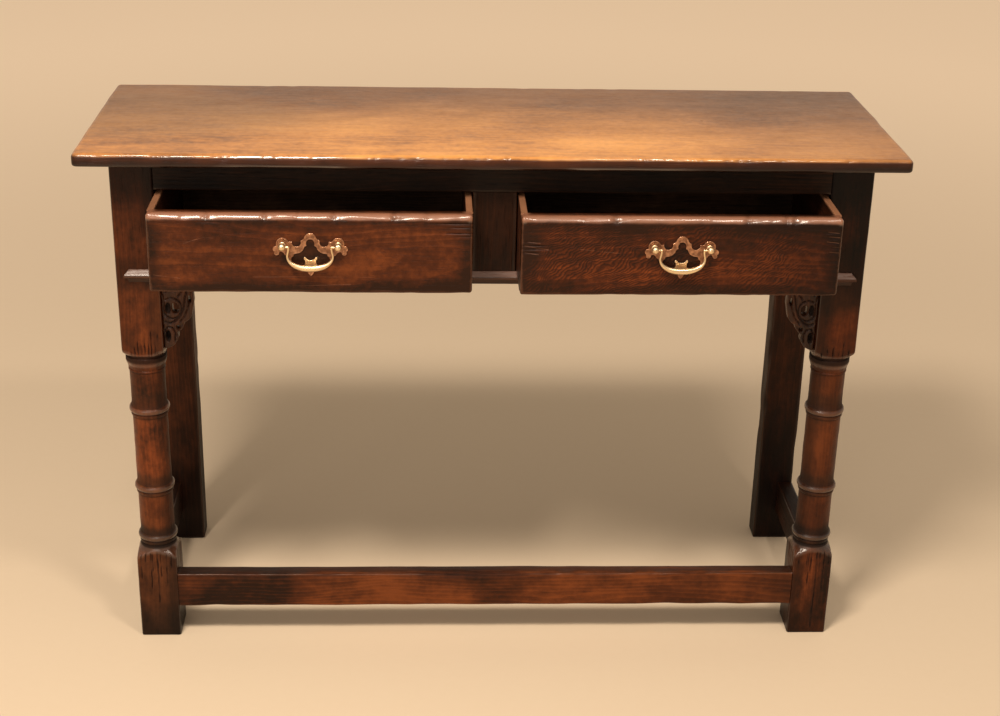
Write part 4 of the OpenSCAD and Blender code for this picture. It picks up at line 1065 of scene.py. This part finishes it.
def side_rail(node, side, radius, soft):
    """An apron or a stretcher between a front and a rear leg, with its tenons."""
    low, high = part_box(node)
    inner, outer = sorted((abs(low.x), abs(high.x)))
    mid = (inner + outer) / 2
    low, high = (inner, leg_high.y, low.z), (outer, rear_low.y, high.z)
    tenons = [((mid - TENON_T / 2, y0, low[2] + SHOULDER), (mid + TENON_T / 2, y1, high[2] - SHOULDER))
              for y0, y1 in ((leg_high.y - 0.027, leg_high.y + LAP), (rear_low.y - LAP, rear_low.y + 0.027))]
    board(node + "_board", *side_by(side, low, high), side_oak, radius=radius, wobble=0.5, step=7,
          tenons=[side_by(side, *t) for t in tenons], soft=soft, replaces=[node], seed=20 + side)


def rear_leg(end, side):
    """A plain square post with knocks along its arrises."""
    low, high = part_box("rear_leg_" + end)
    rng = np.random.default_rng(40 + side)
    dents = [((rng.choice([low.x, high.x]), rng.choice([low.y, high.y]), rng.uniform(0.03, 0.6)),
              (0.005, 0.005, rng.uniform(0.006, 0.03)), rng.uniform(0.0008, 0.003)) for _ in range(18)]
    board("rear_leg_" + end + "_post", low, high, rear_oak, soft="x-x+y-y+z-", radius=3.2, wobble=0.7, step=5,
          dents=dents, replaces=["rear_leg_" + end], seed=30 + side, darkest=6.0)


def moulding_tree():
    """Runs a profile along x and returns it to the wall at both ends, mitred. The wall is y = 0, outwards is -y."""
    g = Growth("moulding_run", {"Half Length": ("Float", 0.5), "Projection": ("Float", 0.008),
                                "Step": ("Float", 0.006), "Finish": ("Material", None)})
    half, out = g.given("Half Length"), g.given("Projection")
    beyond = half + 0.02

    def straight(start, end):
        return g.add("GeometryNodeCurvePrimitiveLine", {"mode": "POINTS"},
                     {"Start": g.vector(start), "End": g.vector(end)})

    run = g.add("GeometryNodeResampleCurve", {"mode": "LENGTH"},
                {"Curve": straight(0 - half, half), "Length": g.given("Step")})
    lines = [run, straight(0 - beyond, 0 - half), straight(half, beyond)]
    profile = g.add("GeometryNodeMeshToCurve", {}, {"Mesh": g.given("Geometry")})
    parts = [g.add("GeometryNodeCurveToMesh", {}, {"Curve": line, "Profile Curve": profile}) for line in lines]
    whole = g.add("GeometryNodeJoinGeometry", {}, {"Geometry": parts})
    x, y, z = g.split(g.add("GeometryNodeInputPosition", {}, {}))
    size = x.math("ABSOLUTE")
    at_end = size.math("GREATER_THAN", half - 0.0001)
    at_wall = size.math("GREATER_THAN", beyond - 0.0001)
    mitred = x.math("SIGN") * (half - out - y)
    place = g.vector(x + (mitred - x) * at_end, y * (1 - at_wall), z)
    shaped = g.add("GeometryNodeSetPosition", {}, {"Geometry": whole, "Position": place})
    merged = g.add("GeometryNodeMergeByDistance", {}, {"Geometry": shaped, "Distance": 0.000002})
    g.end(merged, g.given("Finish"))
    return g


def rail_moulding():
    """The planted moulding: a bevel, a nose and a hollow, returned at both ends."""
    low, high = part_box("rail_moulding")
    out, t = high.y - low.y, high.z - low.z
    nose, hollow = 0.003, 0.006
    edge = [(0, t), (0.0012, t - 0.0002), (out * 0.35, t - out * 0.35), (out * 0.7, t - out * 0.7)]
    edge += [(out - 0.0006, t - out + 0.0004), (out, t - out - 0.0006), (out, t - out - nose + 0.0006)]
    edge += bow((out, t - out - nose - hollow - 0.001), hollow, hollow, 90, 180, 8)
    edge += [(out - hollow, 0.0004), (out - hollow - 0.0004, 0), (0, 0)]
    profile = wire("moulding_profile", [(u, -w, 0) for u, w in edge], True)
    mesh = moulding_tree().grow(profile, (0, high.y, low.z), Half_Length=high.x, Projection=out, Finish=moulding_oak)
    gap = np.array([abs(v.co.z - low.z - (t - out - nose / 2)) for v in mesh.vertices])
    mesh.attributes.new("edge", "FLOAT", "POINT").data.foreach_set("value", gap.astype(np.float32))
    placed("rail_moulding_strip", mesh, moulding_oak, "frame", ["rail_moulding"], sharp=35)


def upright_slot(centre, r, rise):
    """An upright slot with round ends."""
    upper = bow((centre[0], centre[1] + rise / 2), r, r, 0, 180, 12)
    lower = bow((centre[0], centre[1] - rise / 2), r, r, 180, 360, 12)
    return np.array(upper + lower)


def bracket(end, side):
    """A leafy bracket under the rail, pierced and carved, drawn in mm for the right and mirrored for the left."""
    width, height = 52.0, 112.0
    low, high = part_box("bracket_right")
    corner = np.array([leg_low.x, high.z])
    leaf = outline([(a * width, b * height, rise) for a, b, rise in BRACKET_LEAF])
    holes = [upright_slot((a * width, b * height), r, rise)
             for a, b, r, rise in ((0.385, -0.41, 4.8, 7), (0.81, -0.28, 2.2, 6), (0.44, -0.69, 2.2, 2))]
    pits = [((7.3, -91.8), (3.4, 8.0), 11.0), ((9.0, -46.0), (3.5, 8.0), 7.0)]
    cuts = [
        (bow((15, -46), 14.5, 17, -150, 60, 24), 1.5, 3.0),
        (bow((15, -46), 14.5, 17, 60, 128, 10), 1.3, 2.4),
        ([(47, -5), (44, -22), (40, -42), (34, -58), (26, -68)], 1.2, 2.4),
        ([(4, -68), (11, -71), (20, -66), (28, -56), (33, -42), (36, -26), (41, -6)], 1.5, 3.0),
        ([(2, -84), (7, -77), (14, -78), (18, -86), (17, -100)], 1.3, 2.8),
        ([(24, -28), (30, -20), (28, -10), (18, -8), (10, -12), (6, -20)], 1.4, 2.6),
        ([(16, -18), (20, -14)], 1.4, 2.0),
        ([(30, -72), (24, -80), (20, -92)], 1.1, 2.0),
        ([(1.5, -24), (3, -34), (2, -50), (2.5, -60)], 1.2, 2.2),
    ]
    cuts = [(np.array(line), w, d) for line, w, d in cuts]

    def carve(flat, far):
        local = np.column_stack([corner[0] - flat[:, 0], flat[:, 1] - corner[1]]) / MM
        far = far / MM
        round_over = 2.2 * np.clip(1 - far / 2.4, 0, 1) ** 2
        swell = 0.7 * (0.5 + 0.5 * np.clip(ripple(np.column_stack([local, local[:, 0] * 0]), 9, 4), -1, 1))
        grooves = np.zeros(len(flat))
        for line, w, d in cuts:
            grooves = np.maximum(grooves, d * np.exp(-(distance_to(local, line, False) / w) ** 2))
        for centre, half, d in pits:
            away = (((local - centre) / half) ** 2).sum(axis=1)
            grooves = np.maximum(grooves, d * np.clip(1.5 - away, 0, 1))
        return (round_over + swell + grooves) * MM

    def place(loop):
        return corner + np.asarray(loop) * (-1, 1) * MM

    points, faces, far, deep = relief(place(leaf), [place(h) for h in holes], 0.0013, (0.0006, 0.0013, 0.0024),
                                      carve, low.y, high.y)
    if side < 0:
        points, faces = mirror_x(points, faces)
    # Darker in the carved grooves: dirt and painted shade
    dent = np.concatenate([np.clip((deep / MM - 1.4) / 2.6, 0, 1) * (far > 0.0012), np.zeros(len(deep))])
    edge = np.concatenate([far, far])
    name = "bracket_" + end
    piece(name + "_carved", points, faces, carved_oak, "frame", [name], edge, dent, sharp=60)


# The drawers and their handles

def drawer(end, material, notches, marks, seed):
    """One drawer's front and sides; notches cross the top arris, marks are cuts in the face near the ends."""
    body = end + "_drawer"
    low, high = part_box(end + "_drawer_front")
    dents = []
    for x, width, deep in notches:
        dents += [((x, low.y + 0.002, high.z - 0.002), (0.6 * width, 0.009, 0.007), deep),
                  ((x + 1.7 * width, low.y + 0.001, high.z - 0.002), (1.6 * width, 0.007, 0.006), 0.5 * deep)]
    dents += [((x, low.y, z), (half_x, 0.006, half_z), deep) for x, z, half_x, half_z, deep in marks]
    rng = np.random.default_rng(seed)
    for _ in range(14):
        centre = (rng.uniform(low.x, high.x), low.y, low.z + rng.choice([0, 0.001]))
        dents.append((centre, (rng.uniform(0.006, 0.03), 0.005, 0.004), rng.uniform(0.0003, 0.0008)))
    for _ in range(16):
        centre = (rng.uniform(low.x + 0.02, high.x - 0.02), low.y, rng.uniform(low.z + 0.01, high.z - 0.02))
        dents.append((centre, (rng.uniform(0.003, 0.012), 0.01, rng.uniform(0.002, 0.005)),
                      rng.uniform(0.0002, 0.0006)))
    rows = [mark[1] for mark in marks]
    fine_z = (min(rows) - 0.004, max(rows) + 0.004)

    def fuller(p):
        """The top arris is worn rounder than the others, less so near its ends."""
        from_end = np.minimum(p[:, 0] - low.x, high.x - p[:, 0])
        return 6.0 * np.clip((p[:, 2] - high.z + 0.016) / 0.008, 0, 1) * np.clip(from_end / 0.02, 0.2, 1)

    board(body + "_front_board", low, high, material, body, soft="x-x+y-z-z+", radius=4.0, wobble=0.5, step=2.8,
          extra=fuller, dents=dents, grids={2: lambda g: finer(g, *fine_z, 0.0007)}, slot="front_oak",
          replaces=[end + "_drawer_front"], seed=seed, darkest=8.0)
    for which in ("outer", "inner"):
        node = f"{end}_drawer_side_{which}"
        b_low, b_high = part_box(node)
        mid = (b_low.x + b_high.x) / 2
        tongue = ((mid - 0.0025, b_low.y, b_low.z + 0.001), (mid + 0.0025, high.y + LAP, b_high.z - SHOULDER))
        board(node + "_board", (b_low.x, high.y, b_low.z), tuple(b_high), drawer_oak, body, soft="x-x+y+z+",
              radius=1.5, wobble=0.35, step=5, tenons=[tongue], slot="front_oak", replaces=[node], seed=seed + 3)


def pair_tree():
    """Two of what comes in, to the left and right of the middle."""
    g = Growth("handle_posts", {"Half Span": ("Float", 0.04), "Finish": ("Material", None)})
    half = g.given("Half Span")
    spots = g.add("GeometryNodeMeshLine", {"mode": "OFFSET"},
                  {"Count": 2, "Start Location": g.vector(0 - half), "Offset": g.vector(half * 2)})
    both = g.add("GeometryNodeInstanceOnPoints", {}, {"Points": spots, "Instance": g.given("Geometry")})
    g.end(both, g.given("Finish"))
    return g


def sweep_tree():
    """A round bar of changing thickness along a line, with a knuckle and an outward pin at both ends."""
    g = Growth("swan_neck_bail", {"Sides": ("Int", 24), "Knuckle": ("Float", 0.0017), "Pin Radius": ("Float", 0.0016),
                                  "Pin Length": ("Float", 0.0108), "Finish": ("Material", None)})
    line = g.add("GeometryNodeMeshToCurve", {}, {"Mesh": g.given("Geometry")})
    thick = g.add("GeometryNodeInputNamedAttribute", {"data_type": "FLOAT"}, {"Name": "thick"}, "Attribute")
    ring = g.add("GeometryNodeCurvePrimitiveCircle", {"mode": "RADIUS"},
                 {"Resolution": g.given("Sides"), "Radius": 1.0})
    bar = g.add("GeometryNodeCurveToMesh", {},
                {"Curve": line, "Profile Curve": ring, "Scale": thick, "Fill Caps": True})
    ends = g.add("GeometryNodeCurveEndpointSelection", {}, {})
    ball = g.add("GeometryNodeMeshUVSphere", {}, {"Segments": 24, "Rings": 14, "Radius": g.given("Knuckle")})
    length = g.given("Pin Length")
    pin = g.add("GeometryNodeMeshCylinder", {}, {"Vertices": 20, "Radius": g.given("Pin Radius"), "Depth": length})
    pin = g.add("GeometryNodeTransform", {},
                {"Geometry": pin, "Translation": g.vector(length * 0.5), "Rotation": (0, math.pi / 2, 0)})
    x, y, z = g.split(g.add("GeometryNodeInputPosition", {}, {}))
    turn = g.vector(0.0, 0.0, x.math("LESS_THAN", 0.0) * math.pi)
    at_ends = [g.add("GeometryNodeInstanceOnPoints", {},
                     {"Points": line, "Selection": ends, "Instance": part, "Rotation": turn}) for part in (ball, pin)]
    g.end(g.add("GeometryNodeJoinGeometry", {}, {"Geometry": [bar, *at_ends]}), g.given("Finish"))
    return g


def turned_y(profile):
    """A solid of revolution round the y axis; the profile is (radius, place along y) in mm."""
    sides = 40
    angles = np.linspace(0, 2 * math.pi, sides, endpoint=False)
    return loft([np.column_stack([r * MM * np.sin(angles), np.full(sides, at * MM), r * MM * np.cos(angles)])
                 for r, at in profile])


def backplate(end, middle):
    """A pierced, hammered plate with a bevelled edge; it lies on the face of the drawer."""
    centre = np.array([middle[0], middle[2]])
    round_hole = np.array([(2.5 * math.cos(a), 2.5 * math.sin(a))
                           for a in np.linspace(0, 2 * math.pi, 20, endpoint=False)])
    outer = both_halves(outline(PLATE_EDGE, False)) * MM + centre
    holes = [both_halves(outline(KEYHOLE_EDGE, False)) * MM + centre]
    holes += [round_hole * MM + centre + (s * POST_SPAN, 0) for s in (-1, 1)]

    def height(flat, far):
        far = far / MM
        bevel = 0.45 * np.clip(1 - far / 0.55, 0, 1) ** 2
        field = 0.28 * np.clip((far - 0.9) / 0.7, 0, 1)
        hammered = 0.05 * ripple(np.column_stack([flat, flat[:, 0] * 0]), 0.004, 3)
        return (bevel + field + 0.05 + hammered) * MM

    thick = 0.0016
    points, faces, far, deep = relief(outer, holes, 0.0011, (0.0003, 0.00065, 0.0011), height,
                                      middle[1] - thick, middle[1])
    dent = np.concatenate([np.clip((deep / MM - 0.22) / 0.3, 0, 1) * (far > 0.0008), np.zeros(len(deep))])
    piece(end + "_handle_plate_pierced", points, faces, copper_brass, end + "_drawer", [end + "_handle_plate"],
          dent=dent, sharp=45)


def posts(end, middle):
    """Two turned posts with a ball in front, which go through the plate and the drawer front."""
    ball = 5.5
    profile = [(ball * math.cos(math.radians(a)), -BAIL_OUT + ball * math.sin(math.radians(a)))
               for a in (-86, -78, -68, -58, -48, -38, -28, -18, -8, 0, 8, 18, 28, 38, 48, 56)]
    profile += [(2.75, -6.5), (2.6, -5.9), (2.7, -4.6), (3.1, -3.4), (4.0, -2.9), (4.4, -2.6), (4.45, -2.2),
                (4.4, -1.8), (4.2, -1.62), (2.4, -1.6), (2.4, 24.4), (1.9, 25)]
    points, faces = turned_y(profile)
    post = bpy.data.meshes.new("one_post")
    post.from_pydata(points.tolist(), [], faces)
    pair = post_pair.grow(post, middle, Half_Span=POST_SPAN, Finish=brass)
    placed(end + "_handle_posts_turned", pair, brass, end + "_drawer", [end + "_handle_posts"], sharp=40)


def bail(end, middle):
    """A swan-neck bail between the balls of the posts: two short arms and a thick curved grip."""
    arm_r, arm_x, arm_l, drop, grip = 1.5, 30.7, 13.0, 32.0, 4.7

    def bend(a):
        c, s = math.cos(math.radians(a)), math.sin(math.radians(a))
        wide = arm_x + 1.9 * max(0.0, 1 - abs(s) / 0.9)
        return wide * math.copysign(1, c) * abs(c) ** 0.85, -arm_l - (drop - arm_l) * abs(s) ** 0.85

    angles = [1, *range(4, 177, 2), 179]
    arm = [(arm_x, 0), (arm_x, -3), (arm_x + 0.4, -6.5), (arm_x + 1.3, -10)]
    line = arm + [bend(a) for a in angles] + [(-x, z) for x, z in arm[::-1]]
    thick = [arm_r + (grip - arm_r) * math.sin(math.radians(a)) ** 1.5 for a in angles]
    ends = [1.6, 1.45, 1.45, 1.5]
    path = wire("bail_path", [(x * MM, 0, z * MM) for x, z in line],
                thick=np.array([*ends, *thick, *ends[::-1]]) * MM)
    mesh = bail_tree.grow(path, (middle[0], middle[1] - BAIL_OUT * MM, middle[2]), Knuckle=0.00175,
                          Pin_Radius=0.0016, Pin_Length=0.0108, Finish=brass)
    placed(end + "_bail_swan_neck", mesh, brass, end + "_bail_body", [end + "_bail"], sharp=50)


def handle(end):
    """Backplate, posts and bail of one drawer, each drawn in mm round the middle between the posts."""
    low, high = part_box(end + "_handle_posts")
    middle = ((low.x + high.x) / 2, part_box(end + "_drawer_front")[0].y, (low.z + high.z) / 2)
    backplate(end, middle)
    posts(end, middle)
    bail(end, middle)


# Other finishes, and the studio

def dress_plain_nodes():
    """The pieces of the frame that stay as they are get their own finishes."""
    finishes = {"runner_left": inner_y, "runner_centre": inner_y, "runner_right": inner_y, "centre_guide": inner_y,
                "kicker_left": inner_y, "kicker_centre": inner_y, "kicker_right": inner_y, "drawer_stops": inner_x,
                "top_buttons": inner_x, "button_screws": steel}
    for end in ("left", "right"):
        finishes.update({end + "_drawer_back": inner_x, end + "_drawer_bottom": inner_x, end + "_handle_nuts": brass})
    for node, material in finishes.items():
        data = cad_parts[node].data
        if len(data.materials) == 0:
            data.materials.append(material)
        for i in range(len(data.materials)):
            data.materials[i] = material


def seen_rays(s):
    """1 for rays that show the background: the camera's own, reflected and let through."""
    path = s.add("ShaderNodeLightPath", {}, {}, "Is Camera Ray")
    others = [Value(s, path.socket.node.outputs[kind]) for kind in ("Is Glossy Ray", "Is Transmission Ray")]
    return path.math("MAXIMUM", others[0]).math("MAXIMUM", others[1])


def pale_floor():
    """A wide floor that takes shadows and glows towards the colour of the backdrop further out."""
    bpy.ops.mesh.primitive_plane_add(size=40, location=(0, 0, 0))
    floor = bpy.context.object
    floor.name = "pale_floor"
    s = Shader("pale_floor")
    place = s.object_place()
    seen = seen_rays(s)
    x, y, z = s.split(place)
    away = s.smooth((x * x + y * y) ** 0.5, 0.5, 4.5)
    grit = s.noise(place, (60, 60, 60), 3)
    colour = s.mix(grit * 0.3, (0.86, 0.70, 0.52), (0.80, 0.64, 0.46))
    floor.data.materials.append(s.finish(s.add("ShaderNodeBsdfPrincipled", {}, {
        "Base Color": colour, "Roughness": 0.9, "Specular IOR Level": 0.2,
        "Emission Color": s.mix(seen * away, (0, 0, 0), (0.40, 0.285, 0.185)), "Emission Strength": 1.0})))


def backdrop():
    """An even warm surrounding, which is seen brighter than it lights the table."""
    world = bpy.context.scene.world or bpy.data.worlds.new("room")
    bpy.context.scene.world = world
    world.use_nodes = True
    world.node_tree.nodes.clear()
    s = Nodes(world.node_tree)
    shown, lighting = 0.62, 0.34
    strength = seen_rays(s) * (shown - lighting) + lighting
    surrounding = s.add("ShaderNodeBackground", {}, {"Color": (1.0, 0.84, 0.66), "Strength": strength})
    s.add("ShaderNodeOutputWorld", {}, {"Surface": surrounding})


def lamps():
    """Two lamps from above and a soft fill from the front: place, target, size in metres and power in watts."""
    for name, place, target, size, power, colour in (
            ("key_left", (-0.75, -1.50, 2.85), (-0.15, -0.1, 0.6), (0.7, 0.5), 63, (1.0, 0.87, 0.72)),
            ("key_right", (0.75, -1.45, 2.85), (0.15, -0.1, 0.6), (0.36, 0.26), 19, (1.0, 0.87, 0.72)),
            ("fill_front", (-1.2, -3.2, 1.5), (0.0, 0.0, 0.45), (2.2, 1.4), 18, (1.0, 0.90, 0.78)),
    ):
        data = bpy.data.lights.new(name, "AREA")
        data.shape = "RECTANGLE"
        data.size, data.size_y = size
        data.energy = power
        data.color = colour
        lamp = bpy.data.objects.new(name, data)
        lamp.location = place
        lamp.rotation_euler = (Vector(target) - Vector(place)).to_track_quat("-Z", "Y").to_euler()
        bpy.context.collection.objects.link(lamp)


def photo_camera():
    """The camera where the photograph's stood; the angles are in radians."""
    pitch, yaw, roll = 0.40620, 0.0479, -0.0220
    ahead = Vector((math.sin(yaw) * math.cos(pitch), math.cos(yaw) * math.cos(pitch), -math.sin(pitch)))
    level = Vector((math.cos(yaw), -math.sin(yaw), 0))
    down = ahead.cross(level)
    right = level * math.cos(roll) + down * math.sin(roll)
    below = down * math.cos(roll) - level * math.sin(roll)
    data = bpy.data.cameras.new("camera")
    data.sensor_fit = "HORIZONTAL"
    data.sensor_width = 36
    data.lens = 61.185
    data.clip_end = 60
    camera = bpy.data.objects.new("camera", data)
    turn = Matrix((right, -below, -ahead)).transposed().to_4x4()
    camera.matrix_world = Matrix.Translation((-0.10246, -2.52429, 1.53182)) @ turn
    bpy.context.collection.objects.link(camera)
    bpy.context.scene.camera = camera


table_top()
cross_rail("upper_front_rail", rail_oak, "y-y+z-", 1.6, 2)
cross_rail("back_apron", rail_oak, "y-y+z-", 2.0, 3)
cross_rail("lower_front_rail", rail_oak, "y-y+z-z+", 1.5, 4, lying=True)
front_stretcher()
centre_muntin()
for end, side in (("left", -1), ("right", 1)):
    side_rail("side_apron_" + end, side, 2.0, "x-x+z-")
    side_rail("side_stretcher_" + end, side, 3.4, "x-x+z-z+")
    rear_leg(end, side)
rail_moulding()
front_leg("left", -1, leg_cracks(
    3, [(-26, 52), (-19, 20), (-10, 74), (-7.5, 36), (1, 95), (6, 46), (16, 60), (24, 28)],
    [(-18, 10), (-12, 15), (-7, 24), (-1, 18), (4, 32), (10, 22), (14, 42), (20, 28), (24, 36)]), 50)
front_leg("right", 1, leg_cracks(
    4, [(-24, 26), (-10, 48), (-6.5, 62), (-3, 40), (7, 146), (12, 34), (19, 72), (27, 26)],
    [(-22, 9), (-12, 14), (-3, 20), (6, 11), (13, 28), (22, 14)]), 60)
bracket("left", -1)
bracket("right", 1)

# Notches are (x, width, depth), marks (x, z, half length, half height, depth)
drawer("left", left_front_oak,
       [(-0.4149, 0.006, 0.0028), (-0.3323, 0.005, 0.0030), (-0.2338, 0.006, 0.0032), (-0.148, 0.006, 0.0036),
        (-0.448, 0.004, 0.0012), (-0.285, 0.004, 0.0014), (-0.100, 0.008, 0.0018)],
       [(-0.060, 0.7475, 0.026, 0.0010, 0.0018), (-0.052, 0.7415, 0.018, 0.0009, 0.0014),
        (-0.056, 0.7330, 0.024, 0.0010, 0.0018), (-0.046, 0.7280, 0.014, 0.0009, 0.0010),
        (-0.410, 0.7480, 0.018, 0.0012, 0.0007)], 70)
drawer("right", right_front_oak,
       [(0.1712, 0.006, 0.0034), (0.1660, 0.004, 0.0020), (0.310, 0.002, 0.0010), (0.3604, 0.006, 0.0030),
        (0.3946, 0.002, 0.0010), (0.4170, 0.006, 0.0030), (0.4290, 0.006, 0.0030), (0.445, 0.002, 0.0012),
        (0.125, 0.010, 0.0012)],
       [(0.056, 0.7165, 0.016, 0.0010, 0.0016), (0.053, 0.7110, 0.016, 0.0010, 0.0016),
        (0.050, 0.7055, 0.012, 0.0010, 0.0014), (0.050, 0.7225, 0.010, 0.0009, 0.0010),
        (0.486, 0.7390, 0.010, 0.0020, 0.0010), (0.487, 0.7315, 0.010, 0.0020, 0.0010),
        (0.486, 0.7235, 0.011, 0.0020, 0.0010), (0.488, 0.7155, 0.009, 0.0020, 0.0010),
        (0.488, 0.7075, 0.009, 0.0020, 0.0009)], 80)
post_pair, bail_tree = pair_tree(), sweep_tree()
handle("left")
handle("right")
dress_plain_nodes()
pale_floor()
backdrop()
lamps()
photo_camera()
bpy.context.scene.view_settings.view_transform = "Standard"
